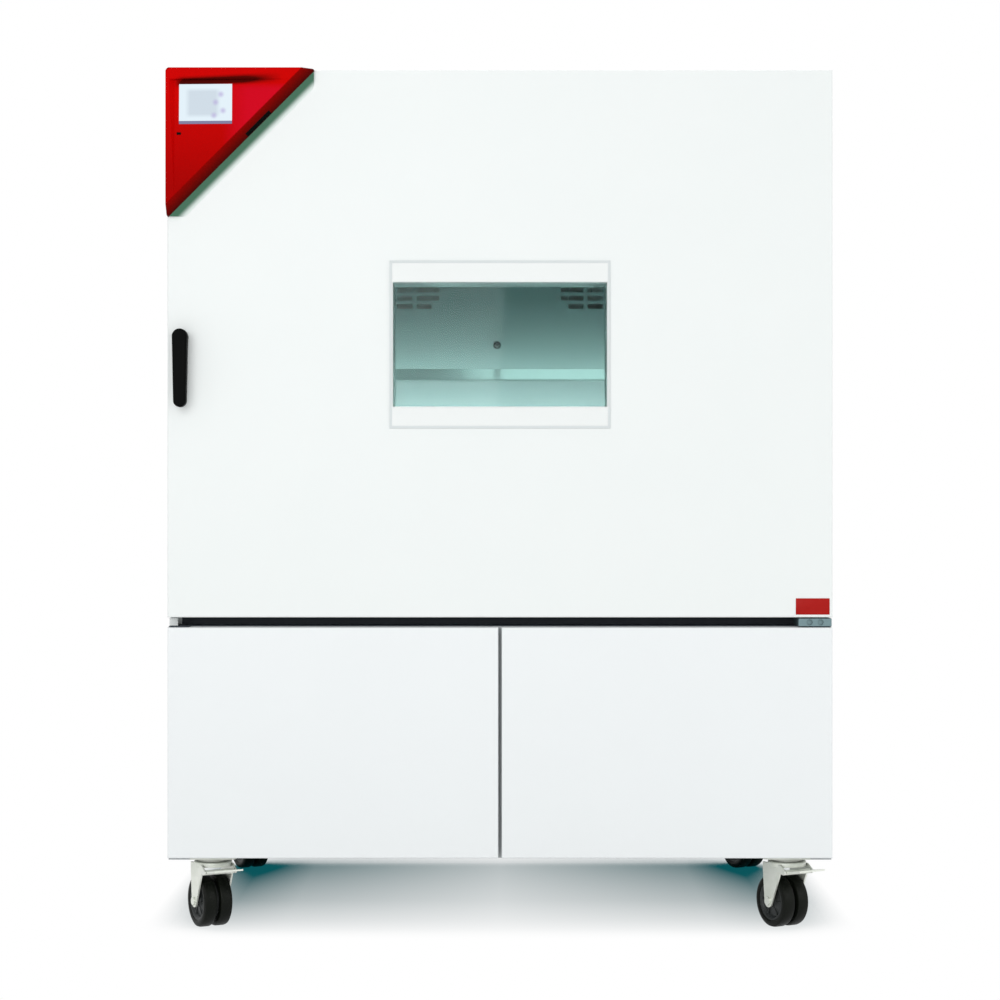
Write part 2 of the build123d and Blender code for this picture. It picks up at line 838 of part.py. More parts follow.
def condenser_box():
    """Edges of the condenser: x, y and z limits."""
    y_high = frame_back - condenser_stand_off
    half = condenser_width / 2
    half_high = condenser_height / 2
    return (condenser_x - half, condenser_x + half, y_high - condenser_depth, y_high,
            condenser_z - half_high, condenser_z + half_high)


def condenser_coil():
    """Finned condenser standing on the tray on its two end plates."""
    x_low, x_high, y_low, y_high, z_low, z_high = condenser_box()
    coil = block(x_low, x_high, y_low, y_high, z_low, z_high)
    coil -= block(x_low + frame_steel, x_high - frame_steel, y_low - cut, y_high + cut, z_low - cut, z_high + cut)
    pitch = (x_high - x_low) / condenser_fins
    for step in range(1, condenser_fins):
        x = x_low + step * pitch
        coil += block(x, x + fin_thickness, y_low, y_high, z_low, z_high)
    tubes = []
    row_pitch = (z_high - z_low) / coil_tube_rows
    for row in range(coil_tube_rows):
        tubes.append(disc(coil_tube_radius, (y_low + y_high) / 2, z_low + (row + 0.5) * row_pitch))
    coil += along_x(Sketch() + tubes, x_low, x_high)
    for x in (x_low, x_high - frame_steel):
        coil += block(x, x + frame_steel, y_low, y_high, tray_face, z_low)
    return coil


def condenser_shroud():
    """Sheet shroud before the condenser, with a ring for the fan and its motor on three struts."""
    x_low, x_high, y_low, y_high, z_low, z_high = condenser_box()
    y_front = y_low - shroud_depth
    ring = disc(condenser_fan_radius + frame_steel, condenser_x, condenser_z)
    shroud = block(x_low, x_high, y_front, y_low, z_low, z_high)
    shroud -= block(x_low + sheet, x_high - sheet, y_front + sheet, y_low + cut, z_low + sheet, z_high - sheet)
    ring_low = y_front - condenser_ring_depth
    shroud += along_y(offset(ring, sheet), ring_low, y_front + sheet)
    shroud -= along_y(ring, ring_low - cut, y_front + sheet + cut)
    strut = rect(condenser_x - condenser_strut / 2, condenser_x + condenser_strut / 2, condenser_z,
                 condenser_z + condenser_fan_radius + frame_steel + sheet)
    arms = [Pos(condenser_x, condenser_z) * Rot(0, 0, turn) * Pos(-condenser_x, -condenser_z) * strut
            for turn in (0, 120, 240)]
    shroud += along_y(Sketch() + arms, ring_low - sheet, ring_low)
    shroud += along_y(disc(condenser_fan_hub, condenser_x, condenser_z), ring_low - condenser_motor_length,
                      ring_low)
    bore = disc(fan_shaft_radius + running, condenser_x, condenser_z)
    return shroud - along_y(bore, ring_low - motor_bore, ring_low + cut)


def condenser_fan():
    """Axial fan of the condenser, on the shaft of its motor."""
    motor_face = condenser_box()[2] - shroud_depth - condenser_ring_depth
    hub_low = motor_face + fan_gap
    fan = along_y(disc(condenser_fan_hub, condenser_x, condenser_z), hub_low, hub_low + condenser_blade_depth)
    reach = condenser_fan_radius - frame_steel
    for step in range(condenser_fan_blades):
        blade = Box(condenser_fan_hub, fan_plate, reach - condenser_fan_hub / 2)
        blade = Rot(0, 0, condenser_blade_turn) * blade
        blade = Pos(0, 0, (reach + condenser_fan_hub / 2) / 2) * blade
        blade = Rot(0, step * 360 / condenser_fan_blades, 0) * blade
        fan += Pos(condenser_x, hub_low + condenser_blade_depth / 2, condenser_z) * blade
    shaft = disc(fan_shaft_radius, condenser_x, condenser_z)
    return fan + along_y(shaft, motor_face - motor_bore + clear, hub_low)


def tube_along(points, radius):
    """Round tube bent along straight runs with equal bends."""
    path = FilletPolyline(*points, radius=pipe_bend)
    section = Plane(origin=path @ 0, z_dir=path % 0) * Circle(radius)
    return sweep(section, path=path)


def refrigerant_pipes():
    """Receiver and the copper pipes between compressor, condenser and evaporator."""
    x_low, x_high, y_low, y_high, z_low, z_high = condenser_box()
    lid = tray_face + compressor_foot + compressor_height
    pipe_y = (y_low + y_high) / 2
    suction = tube_along([
        (compressor_x, compressor_y, lid),
        (compressor_x, compressor_y, lid + suction_rise),
        (compressor_x + suction_reach, compressor_y, lid + suction_rise),
        (compressor_x + suction_reach, compressor_y, ledge_low),
    ], pipe_radius)
    discharge = tube_along([
        (compressor_x, compressor_y + compressor_radius, condenser_z),
        (compressor_x, pipe_y, condenser_z),
        (x_high, pipe_y, condenser_z),
    ], pipe_radius)
    receiver = along_x(disc(receiver_radius, receiver_y, tray_face + receiver_radius),
                       receiver_x - receiver_length, receiver_x)
    receiver = fillet(receiver.edges(), receiver_radius / 2)
    liquid = tube_along([
        (receiver_x, receiver_y, tray_face + receiver_radius),
        (compressor_x, receiver_y, tray_face + receiver_radius),
        (compressor_x, receiver_y - liquid_reach, tray_face + receiver_radius),
        (compressor_x, receiver_y - liquid_reach, ledge_low),
    ], pipe_radius)
    return group([suction, discharge, receiver, liquid])


def electrical_box():
    """Switch cabinet with a raised lid."""
    x_low = box_x - box_width / 2
    y_low = box_y - box_depth / 2
    box = block(x_low, x_low + box_width, y_low, y_low + box_depth, tray_face, tray_face + box_height)
    box = fillet(box.edges().filter_by(Axis.Z), flange / 3)
    lid = rect(x_low + flange, x_low + box_width - flange, tray_face + flange, tray_face + box_height - flange,
               flange / 2)
    return box + along_y(lid, y_low - frame_steel, y_low)


def humidifier_boiler():
    """Steam boiler of the humidifier: a lidded pot and its steam pipe up to the deck."""
    rim = tray_face + boiler_height
    pot = along_z(disc(boiler_radius, boiler_x, boiler_y), tray_face, rim)
    pot += along_z(disc(boiler_radius + flange / 2, boiler_x, boiler_y), rim - flange, rim)
    pot = chamfer(pot.edges().group_by(Axis.Z)[-1], flange / 6)
    return pot + along_z(disc(steam_pipe_radius, boiler_x, boiler_y), rim, ledge_low)


def water_canister():
    """Water canister with a filler cap and a sunken grip."""
    body = block(canister_x - canister_width / 2, canister_x + canister_width / 2,
                 canister_y - canister_depth / 2, canister_y + canister_depth / 2, tray_face,
                 tray_face + canister_height)
    body = fillet(body.edges(), canister_round)
    top = tray_face + canister_height
    grip = rect(canister_y - canister_depth / 4, canister_y + canister_depth / 4, top - flange * 3, top - flange,
                flange / 2)
    body -= along_x(grip, canister_x - canister_width / 8, canister_x + canister_width / 8)
    body += along_z(disc(canister_cap_radius, canister_x + canister_width / 4, canister_y), top, top + flange)
    return body


# Main door


def reveal(inset, y_low, y_high):
    """Block that fills the window opening, less an even inset."""
    return along_y(rect(inset - half_window, half_window - inset, window_low + inset, window_high - inset),
                   y_low, y_high)


def hinge_notch():
    """Space in the door's upper hinge corner, behind the front skin, for the hinge arm."""
    return block(half_width - hinge_notch_width, half_width + cut, door_front + skin_lip, door_back + cut,
                 cabinet_top - hinge_notch_height, cabinet_top + cut)


def hinge_pin_holes():
    """Bores in the door for the two hinge pins."""
    hole = disc(hinge_pin_radius + running, hinge_x, hinge_y)
    notch_floor = cabinet_top - hinge_notch_height
    low = along_z(hole, door_bottom - cut, door_bottom + hinge_pin_length)
    return low + along_z(hole, notch_floor - hinge_pin_length, notch_floor + cut)


def spindle_hole():
    """Bore through the door for the handle's spindle."""
    return along_y(disc(spindle_radius + running, handle_x, handle_z), door_front - cut, pad_back)


def door_skin():
    """Painted outer pan of the door."""
    skin = block(-half_width, half_width, door_front, door_back, door_bottom, cabinet_top)
    skin = fillet(skin.edges().group_by(Axis.Y)[0], bend_radius)
    skin -= block(-wall_inside, wall_inside, door_front + sheet, door_back + cut, door_bottom + sheet, roof_low)
    skin -= reveal(-sheet, door_front - cut, door_front + sheet + cut)
    return skin - hinge_notch() - hinge_pin_holes() - spindle_hole()


def door_insulation():
    """Insulation that fills the door and its pad, round the window well."""
    core = block(-wall_inside, wall_inside, door_front + sheet, door_back - sheet, door_bottom + sheet, roof_low)
    core += along_y(pad_outline(sheet), door_back - sheet, pad_back - sheet)
    core -= reveal(-sheet, door_front, pad_back)
    return core - hinge_notch() - hinge_pin_holes() - spindle_hole()


def pad_outline(inset):
    """Outline of the raised pad that enters the chamber mouth."""
    half = half_chamber - pad_clearance - inset
    return rect(-half, half, chamber_floor + pad_clearance + inset, chamber_top - pad_clearance - inset,
                pad_corner - inset)


def door_liner():
    """Stainless inner pan of the door, with the raised pad and the window well."""
    pan = block(-wall_inside, wall_inside, door_back - sheet, door_back, door_bottom + sheet, roof_low)
    pan += along_y(pad_outline(0), door_back, pad_back)
    pan -= along_y(pad_outline(sheet), door_back - sheet - cut, pad_back - sheet)
    pan += reveal(-sheet, door_front + sheet, pad_back)
    pan -= reveal(0, door_front, pad_back + cut)
    return pan - hinge_notch() - spindle_hole()


def door_gasket():
    """Outer seal on the door's rear face."""
    return gasket(half_width - gasket_inset, door_bottom + gasket_inset / 2, cabinet_top - gasket_inset,
                  gasket_width, door_back, cabinet_front - clear)


def window_frame():
    """Front frame of the window: a thin border with a broad band above and below the glass."""
    border = rect(-half_window - window_border, half_window + window_border,
                  window_low - window_band - window_border, window_high + window_band + window_border)
    opening = rect(-half_window, half_window, window_low, window_high)
    frame = along_y(border - opening, door_front - window_frame_depth, door_front)
    edges = frame.faces().sort_by(Axis.Y)[0].inner_wires()[0].edges()
    return chamfer(edges, window_chamfer)


def pane(y_low):
    """One pane that fills the window well."""
    return reveal(0, y_low, y_low + pane_thickness)


def window_outer_pane():
    """Front pane of the window."""
    return pane(door_front + sheet)


def window_inner_panes():
    """Inner panes, the last one flush with the pad."""
    first = door_front + sheet
    pitch = (pad_back - pane_thickness - first) / inner_panes
    return group([pane(first + (step + 1) * pitch) for step in range(inner_panes)])


def controller_plane():
    """Section plane across the long edge: first axis inwards over the face, second axis off the door."""
    middle = controller_leg / 2
    origin = (middle - half_width, door_front, cabinet_top - middle)
    return Plane(origin=origin, x_dir=(-1, 0, 1), z_dir=(1, 0, 1))


def across_corner(points):
    """Solid with one section across the controller's long edge, as long as the controller."""
    return extrude(controller_plane() * outline(points), controller_leg, both=True)


def corner_triangle(left, top, diagonal, corner):
    """Right-angled outline in the door's upper left corner, inset from its three edges."""
    x = left - half_width
    z = cabinet_top - top
    leg = controller_leg - left - top - diagonal * sqrt(2)
    return fillet(outline([(x, z), (x, z - leg), (x + leg, z)]).vertices(), corner)


def screen_outline():
    """Outline of the screen on the controller."""
    x = screen_left - half_width
    z = cabinet_top - screen_top
    return rect(x, x + screen_width, z - screen_height, z)


def sunken_face(below, above):
    """Layer between two heights off the controller's tilted face."""
    edge = controller_bevel
    corner = controller_leg / sqrt(2)
    deep = controller_depth - controller_sink
    return across_corner([
        (edge, controller_depth + below),
        (corner, deep + below),
        (corner, deep + above),
        (edge, controller_depth + above),
    ])


def controller_housing():
    """Three-cornered controller housing with a bevelled long edge, a sunken tilted face and a rear shell."""
    front = door_front - controller_depth
    shell = along_y(corner_triangle(0, 0, 0, controller_corner), front, door_front - controller_skirt)
    shell -= across_corner([
        (-cut, controller_skirt),
        (0, controller_skirt),
        (controller_bevel, controller_depth),
        (controller_bevel, controller_depth + cut),
        (-cut, controller_depth + cut),
    ])
    face = corner_triangle(controller_side_band, controller_top_band, controller_bevel, controller_corner / 4)
    pocket = along_y(face, front - cut, door_front)
    shell -= pocket & sunken_face(0, controller_depth)
    shell -= along_y(screen_outline(), front - cut, door_front) & sunken_face(-screen_thickness, controller_depth)
    x = port_slot_left - half_width
    z = cabinet_top - port_slot_top
    slot = rect(x, x + port_slot_width, z - port_slot_height, z)
    shell -= along_y(slot, front - cut, door_front) & sunken_face(-vent_depth, controller_depth)
    shell -= extrude(controller_plane() * rect(-cut, vent_width, controller_skirt, controller_skirt + vent_depth),
                     vent_length / 2, both=True)
    skirt_leg = controller_skirt_reach * sqrt(2)
    rear = outline([
        (-half_width, cabinet_top),
        (-half_width, cabinet_top - controller_leg - skirt_leg),
        (controller_leg + skirt_leg - half_width, cabinet_top),
    ])
    rear = fillet(rear.vertices(), controller_corner)
    base = along_y(rear, door_front - controller_skirt, door_front)
    return group([shell, base])


def controller_screen():
    """Touch screen, seated in the controller's tilted face."""
    front = door_front - controller_depth
    return along_y(screen_outline(), front - cut, door_front) & sunken_face(-screen_thickness, screen_proud)


def handle_lever():
    """Lever handle: a tapered bar with round ends on a boss over the spindle."""
    front = door_front - handle_reach
    low_z = handle_top - handle_length + handle_bottom_radius
    ends = disc(handle_top_radius, handle_x, handle_z) + disc(handle_bottom_radius, handle_x, low_z)
    bar = along_y(make_hull(ends.edges()), front, front + handle_thickness)
    bar = fillet(bar.edges().group_by(Axis.Y)[0], handle_round)
    bar += along_y(disc(handle_boss_radius, handle_x, handle_z), front + handle_thickness, door_front - clear)
    socket = disc(spindle_radius, handle_x, handle_z)
    return bar - along_y(socket, front + spindle_blind, door_front)


def handle_spindle():
    """Spindle through the door with the latch cam on its inner end."""
    front = door_front - handle_reach + spindle_blind
    cam_back = cabinet_front - sheet * 2 - keeper_plate
    spindle = along_y(disc(spindle_radius, handle_x, handle_z), front, cam_back)
    half = cam_width / 2
    cam = rect(handle_x - cam_reach, handle_x, handle_z - half, handle_z + half)
    return spindle + along_y(cam, cam_back - cam_thickness, cam_back)


def latch_keeper():
    """Strike plate on the collar with a welded lip beside the cam."""
    x_low = handle_x - cam_reach - keeper_lip - seam
    z_low = handle_z - keeper_height / 2
    face = cabinet_front - keeper_plate
    keeper = block(x_low, x_low + keeper_width, face, cabinet_front, z_low, z_low + keeper_height)
    lip = block(x_low, x_low + keeper_lip, door_back + seam, face, z_low, z_low + keeper_height)
    return group([keeper, lip])


def hinge_brackets():
    """Lower hinge bracket on the ledge and upper hinge arm from the collar, with their pins."""
    pin = disc(hinge_pin_radius, hinge_x, hinge_y)
    x_low = hinge_x - hinge_plate_width + hinge_inset - sheet
    low_top = door_bottom - frame_steel
    lower = block(x_low, x_low + hinge_plate_width, door_front + sheet, cabinet_front, ledge_top, low_top)
    lower += along_z(pin, low_top, door_bottom + hinge_pin_length - clear)
    for side in (-1, 1):
        screw = disc(hinge_screw_radius, x_low + hinge_plate_width / 2 + side * hinge_screw_pitch / 2,
                     (ledge_top + low_top) / 2)
        lower -= along_y(screw, door_front, door_front + hinge_screw_recess)
    notch_floor = cabinet_top - hinge_notch_height
    arm_low = notch_floor + frame_steel
    arm_top = arm_low + hinge_arm_height
    arm_boss = hinge_pin_radius + sheet * 2
    upper = block(hinge_x - hinge_arm_width, hinge_x, hinge_y, cabinet_front, arm_low, arm_top)
    upper += along_z(disc(arm_boss, hinge_x, hinge_y), arm_low, arm_top)
    upper += along_z(pin, notch_floor - hinge_pin_length + clear, arm_low)
    return group([lower, upper])


# Service doors


def service_door_right():
    """Right service door: a folded pan that turns on pins at its outer edge."""
    x_low = service_split / 2
    door = block(x_low, half_width, service_front, service_back, service_bottom, service_top)
    door = fillet(door.edges().group_by(Axis.Y)[0], bend_radius)
    door -= block(x_low + sheet, half_width - sheet, service_front + sheet, service_back + cut,
                  service_bottom + sheet, service_top - sheet)
    lip = rect(x_low + sheet, half_width - sheet, service_bottom + sheet, service_top - sheet)
    door += along_y(lip - offset(lip, -flange), service_back - sheet, service_back)
    pivot = (half_width - service_pivot_inset, service_front + service_thickness / 2)
    length = service_pin_length + sheet
    for z_low in (service_bottom, service_top - length):
        door += along_z(disc(service_boss_radius, *pivot), z_low, z_low + length)
    hole = disc(service_pin_radius + running, *pivot)
    door -= along_z(hole, service_bottom - cut, service_bottom + service_pin_length + clear)
    return door - along_z(hole, service_top - service_pin_length - clear, service_top + cut)


def service_door_left():
    """Left service door, the mirror image of the right one."""
    return mirror(service_door_right(), Plane.YZ)


# Casters, each drawn with its swivel axis on Z and the wheel trailing towards -X

def placed(shape, corner):
    """Turns a caster piece to its resting direction and moves it under its corner."""
    x, y = caster_places[corner]
    return Pos(x, y, 0) * Rot(0, 0, caster_turn) * shape


def caster_plates():
    """Mounting plates with their raceway rings and the bore for the kingpin."""
    plates = []
    for x, y in caster_places.values():
        half_x = caster_plate_length / 2
        half_y = caster_plate_width / 2
        plate = along_z(rect(x - half_x, x + half_x, y - half_y, y + half_y, caster_plate * 2), plate_low,
                        caster_height)
        plate += along_z(disc(raceway_radius, x, y), plate_low - raceway_height, plate_low)
        plates.append(plate - along_z(disc(kingpin_radius + running, x, y), plate_low - raceway_height - cut,
                                      plate_low - raceway_height + kingpin_length + clear))
    return group(plates)


def caster_fork(corner):
    """Swivel fork: crown, kingpin, two swept legs and the axle."""
    fork = along_z(disc(crown_radius, 0, 0), crown_low, crown_top)
    fork = fillet(fork.edges().group_by(Axis.Z)[-1], crown_height / 3)
    fork += along_z(disc(kingpin_radius, 0, 0), crown_top, plate_low - raceway_height + kingpin_length)
    foot = disc(leg_foot_radius, -trail, wheel_radius)
    head = rect(-leg_head_back, leg_head_front, crown_low - crown_height, crown_low + crown_height / 2)
    leg = make_hull(foot.edges() + head.edges())
    ear = disc(pedal_knuckle_radius, pedal_pivot_x, pedal_pivot_z)
    root = rect(0, leg_head_front, crown_low - crown_height, crown_low + crown_height / 2)
    tongue = make_hull(ear.edges() + root.edges())
    cheek = leg + tongue - disc(pedal_pin_radius + running, pedal_pivot_x, pedal_pivot_z)
    fork += along_y(cheek, leg_inside, leg_outside)
    fork += along_y(cheek, -leg_outside, -leg_inside)
    fork += along_y(disc(axle_radius, -trail, wheel_radius), -leg_outside, leg_outside)
    for y_low in (-leg_outside - leg_thickness, leg_outside):
        fork += along_y(disc(axle_head_radius, -trail, wheel_radius), y_low, y_low + leg_thickness)
    return placed(fork, corner)


def caster_wheel(corner):
    """Twin wheel: two rubber tyres with rounded shoulders on one plastic hub with a bore."""
    half = wheel_width / 2
    rim = disc(wheel_radius - tyre_thickness, -trail, wheel_radius)
    tyre = along_y(disc(wheel_radius, -trail, wheel_radius), wheel_split / 2, half)
    tyre = fillet(tyre.edges(), tyre_round)
    tyre -= along_y(rim, wheel_split / 2 - cut, half + cut)
    hub = along_y(rim, sheet - half, half - sheet)
    hub += along_y(disc(axle_head_radius, -trail, wheel_radius), -half, half)
    hub -= along_y(disc(axle_radius + running, -trail, wheel_radius), -half - cut, half + cut)
    return placed(group([tyre, mirror(tyre, Plane.XZ), hub]), corner)


def brake_pedal(corner):
    """Brake pedal: a pressed tread on a knuckle and pin between the fork's ears."""
    half = wheel_width / 2
    pedal = along_y(disc(pedal_knuckle_radius, pedal_pivot_x, pedal_pivot_z), -half, half)
    tip_x = pedal_pivot_x + pedal_reach
    tread = outline([
        (pedal_pivot_x, pedal_pivot_z - pedal_thickness / 2),
        (tip_x, pedal_pivot_z + pedal_rise - pedal_thickness / 2),
        (tip_x, pedal_pivot_z + pedal_rise + pedal_thickness / 2),
        (pedal_pivot_x, pedal_pivot_z + pedal_thickness / 2),
    ])
    pedal += along_y(tread, -half, half)
    pin = disc(pedal_pin_radius, pedal_pivot_x, pedal_pivot_z)
    return placed(pedal + along_y(pin, -leg_outside, leg_outside), corner)


pieces = {
    "base_frame": base_frame(),
    "side_panel_left": side_panel_left(),
    "side_panel_right": side_panel_right(),
    "top_panel": top_panel(),
    "rear_panel_upper": rear_panel_upper(),
    "rear_panel_lower": rear_panel_lower(),
    "front_collar": front_collar(),
    "chamber_liner": chamber_liner(),
    "cabinet_insulation": cabinet_insulation(),
    "rear_baffle": rear_baffle(),
    "circulation_fan_left": circulation_fan(-1),
    "circulation_fan_right": circulation_fan(1),
    "fan_motors": fan_motors(),
    "evaporator_coil": evaporator_coil(),
    "heater_element": heater_element(),
    "temperature_probe": temperature_probe(),
    "led_lamps": led_lamps(),
    "shelf_supports": shelf_supports(),
    "shelf_rack": shelf_rack(),
    "chamber_gasket": chamber_gasket(),
    "access_port": access_port(),
    "access_port_plug": access_port_plug(),
    "main_switch_base": main_switch_base(),
    "main_switch_knob": main_switch_knob(),
    "interface_panel": interface_panel(),
    "water_fittings": water_fittings(),
    "compressor": compressor(),
    "condenser_coil": condenser_coil(),
    "condenser_shroud": condenser_shroud(),
    "condenser_fan": condenser_fan(),
    "refrigerant_pipes": refrigerant_pipes(),
    "electrical_box": electrical_box(),
    "humidifier_boiler": humidifier_boiler(),
    "water_canister": water_canister(),
    "door_skin": door_skin(),
    "door_insulation": door_insulation(),
    "door_liner": door_liner(),
    "door_gasket": door_gasket(),
    "window_frame": window_frame(),
    "window_outer_pane": window_outer_pane(),
    "window_inner_panes": window_inner_panes(),
    "controller_housing": controller_housing(),
    "controller_screen": controller_screen(),
    "handle_lever": handle_lever(),
    "handle_spindle": handle_spindle(),
    "latch_keeper": latch_keeper(),
    "hinge_brackets": hinge_brackets(),
    "service_door_left": service_door_left(),
    "service_door_right": service_door_right(),
    "caster_plates": caster_plates(),
}
for place in caster_places:
    pieces[f"caster_fork_{place}"] = caster_fork(place)
    pieces[f"caster_wheel_{place}"] = caster_wheel(place)
for place in ("front_left", "front_right"):
    pieces[f"brake_pedal_{place}"] = brake_pedal(place)

for name, shape in pieces.items():
    export_step(shape, f"parts/{name}.step")
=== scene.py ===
"""Looks of an environmental test chamber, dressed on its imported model."""
import json
import logging
import math
from dataclasses import dataclass, field
from enum import Enum

import bmesh
import bpy
from mathutils import Matrix, Vector


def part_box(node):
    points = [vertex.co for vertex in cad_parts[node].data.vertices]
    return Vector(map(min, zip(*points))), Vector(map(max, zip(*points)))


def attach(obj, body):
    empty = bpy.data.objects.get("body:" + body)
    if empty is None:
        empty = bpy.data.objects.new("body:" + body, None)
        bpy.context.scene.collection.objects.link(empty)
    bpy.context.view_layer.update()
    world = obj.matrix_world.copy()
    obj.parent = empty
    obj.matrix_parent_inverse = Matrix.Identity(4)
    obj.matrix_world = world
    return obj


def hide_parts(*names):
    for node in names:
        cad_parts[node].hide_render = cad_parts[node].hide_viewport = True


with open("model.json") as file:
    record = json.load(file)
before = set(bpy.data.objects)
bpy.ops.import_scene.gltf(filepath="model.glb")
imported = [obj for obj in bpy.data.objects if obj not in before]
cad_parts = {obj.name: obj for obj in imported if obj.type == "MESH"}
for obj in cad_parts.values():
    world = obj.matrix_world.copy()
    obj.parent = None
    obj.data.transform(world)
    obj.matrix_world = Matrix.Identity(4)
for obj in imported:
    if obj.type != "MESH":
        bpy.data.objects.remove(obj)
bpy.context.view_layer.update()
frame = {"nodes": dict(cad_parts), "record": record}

Material = bpy.types.Material
Socket = bpy.types.NodeSocket
Tree = bpy.types.NodeTree
BMesh = bmesh.types.BMesh
BMVert = bmesh.types.BMVert

log = logging.getLogger("chamber")

MM = 0.001
NEAR = 1e-6


class Axis(Enum):
    """Directions that a sheet is ground along, by their place in a vector."""

    X = 0
    Z = 2


def linear(code: str) -> tuple[float, float, float, float]:
    """Turns an sRGB hex colour into linear light.

    Args:
        code: Colour as six hex digits.

    Returns:
        Red, green and blue, with a full fourth value.
    """
    parts = [int(code[i:i + 2], 16) / 255 for i in (0, 2, 4)]
    done = [p / 12.92 if p <= 0.04045 else ((p + 0.055) / 1.055) ** 2.4 for p in parts]
    return (done[0], done[1], done[2], 1.0)


def per_mm(size: float) -> float:
    """Pattern scale on Object coordinates for features of that many millimetres."""
    return 1000.0 / size


def add(tree: Tree, kind: str, inputs: dict | None = None, **settings: object) -> bpy.types.Node:
    """Adds a node with its settings, values and links.

    Args:
        tree: Node tree of a material or the world.
        kind: Node type without its ShaderNode prefix.
        inputs: Value or socket for each input, by its name or number.
        settings: Attributes of the node.

    Returns:
        The new node.
    """
    node = tree.nodes.new("ShaderNode" + kind)
    for name, value in settings.items():
        setattr(node, name, value)
    for key, value in (inputs or {}).items():
        if isinstance(value, Socket):
            tree.links.new(value, node.inputs[key])
        else:
            node.inputs[key].default_value = value
    return node


def ramp(tree: Tree, value: Socket, start: float, end: float, low: float = 0.0,
         high: float = 1.0, smooth: bool = False) -> Socket:
    """Maps one range of a value to another and holds it past the ends.

    Args:
        tree: Node tree of a material.
        value: Socket of the value.
        start: Value that gives low.
        end: Value that gives high.
        low: Result at the start.
        high: Result at the end.
        smooth: Whether the change eases in and out.

    Returns:
        Socket of the result.
    """
    node = add(tree, "MapRange", {"Value": value, "From Min": start, "From Max": end, "To Min": low,
                                  "To Max": high}, interpolation_type="SMOOTHSTEP" if smooth else "LINEAR")
    return node.outputs["Result"]


def mix(tree: Tree, share: Socket, first: object, second: object) -> Socket:
    """Blends two colours by a share and returns the socket of the result."""
    node = add(tree, "Mix", {"Factor": share, "A": first, "B": second}, data_type="RGBA")
    return node.outputs["Result"]


def calc(tree: Tree, operation: str, *values: object, clamp: bool = False) -> Socket:
    """Works out one step on values or sockets and returns the socket of the result."""
    node = add(tree, "Math", dict(enumerate(values)), operation=operation, use_clamp=clamp)
    return node.outputs["Value"]


def start_material(name: str) -> tuple[Material, Tree, Socket]:
    """Makes an empty node material.

    Args:
        name: Name of the material.

    Returns:
        The material, its tree and the socket of the Object coordinates.
    """
    material = bpy.data.materials.new(name)
    material.use_nodes = True
    tree = material.node_tree
    tree.nodes.clear()
    return material, tree, add(tree, "TexCoord").outputs["Object"]


def noise(tree: Tree, place: Socket, size: float, detail: float) -> Socket:
    """Cloudy pattern with features of that many millimetres."""
    return add(tree, "TexNoise", {"Vector": place, "Scale": per_mm(size), "Detail": detail}).outputs["Fac"]


def cells(tree: Tree, place: Socket, size: float) -> Socket:
    """Cell pattern with cells of that many millimetres."""
    return add(tree, "TexVoronoi", {"Vector": place, "Scale": per_mm(size)}).outputs["Distance"]


def relief(tree: Tree, height: Socket, strength: float, depth: float,
           edge: float = 0.0, samples: int = 4) -> Socket:
    """Normal of a surface with a fine relief and, where asked, softly rounded edges.

    Args:
        tree: Node tree of a material.
        height: Socket of the relief's height.
        strength: Share of the relief that shows.
        depth: Full depth of the relief in millimetres.
        edge: Radius of the edges in millimetres, or 0 for sharp ones.
        samples: Samples of the rounding.

    Returns:
        Socket of the normal.
    """
    inputs = {"Height": height, "Strength": strength, "Distance": depth * MM}
    if edge:
        inputs["Normal"] = add(tree, "Bevel", {"Radius": edge * MM}, samples=samples).outputs["Normal"]
    return add(tree, "Bump", inputs).outputs["Normal"]


def close_surface(tree: Tree, inputs: dict) -> None:
    """Ends a material in the general surface shader with these inputs."""
    close_material(tree, add(tree, "BsdfPrincipled", inputs))


def close_material(tree: Tree, shader: bpy.types.Node) -> None:
    """Links a shader to the material's output."""
    add(tree, "OutputMaterial", {"Surface": shader.outputs[0]})


class Finish:
    """A finish of the chamber, drawn by each kind in its own way."""

    name: str

    def paint(self, tree: Tree, place: Socket) -> None:
        """Draws the finish.

        Args:
            tree: Node tree of the material.
            place: Socket of the Object coordinates.
        """
        raise NotImplementedError

    def make(self) -> Material:
        """Builds the material."""
        material, tree, place = start_material(self.name)
        self.paint(tree, place)
        return material


@dataclass(frozen=True)
class PowderCoat(Finish):
    """Powder coat on sheet steel: even colour, a fine orange peel and softly rounded edges."""

    name: str
    colour: str
    shade: str
    roughness: float = 0.42
    shine: float = 0.3
    peel_mm: float = 3.5
    edge_mm: float = 1.6
    peel_depth: float = 0.06
    cloud_mm: float = 260.0

    def paint(self, tree: Tree, place: Socket) -> None:
        """Draws the finish."""
        tone = mix(tree, noise(tree, place, self.cloud_mm, 2.0), linear(self.colour), linear(self.shade))
        peel = noise(tree, place, self.peel_mm, 3.0)
        gloss = ramp(tree, peel, 0.0, 1.0, self.roughness - 0.05, self.roughness + 0.06)
        close_surface(tree, {
            "Base Color": tone, "Roughness": gloss, "Specular IOR Level": self.shine,
            "Normal": relief(tree, peel, self.peel_depth, 0.4, self.edge_mm, samples=6)})


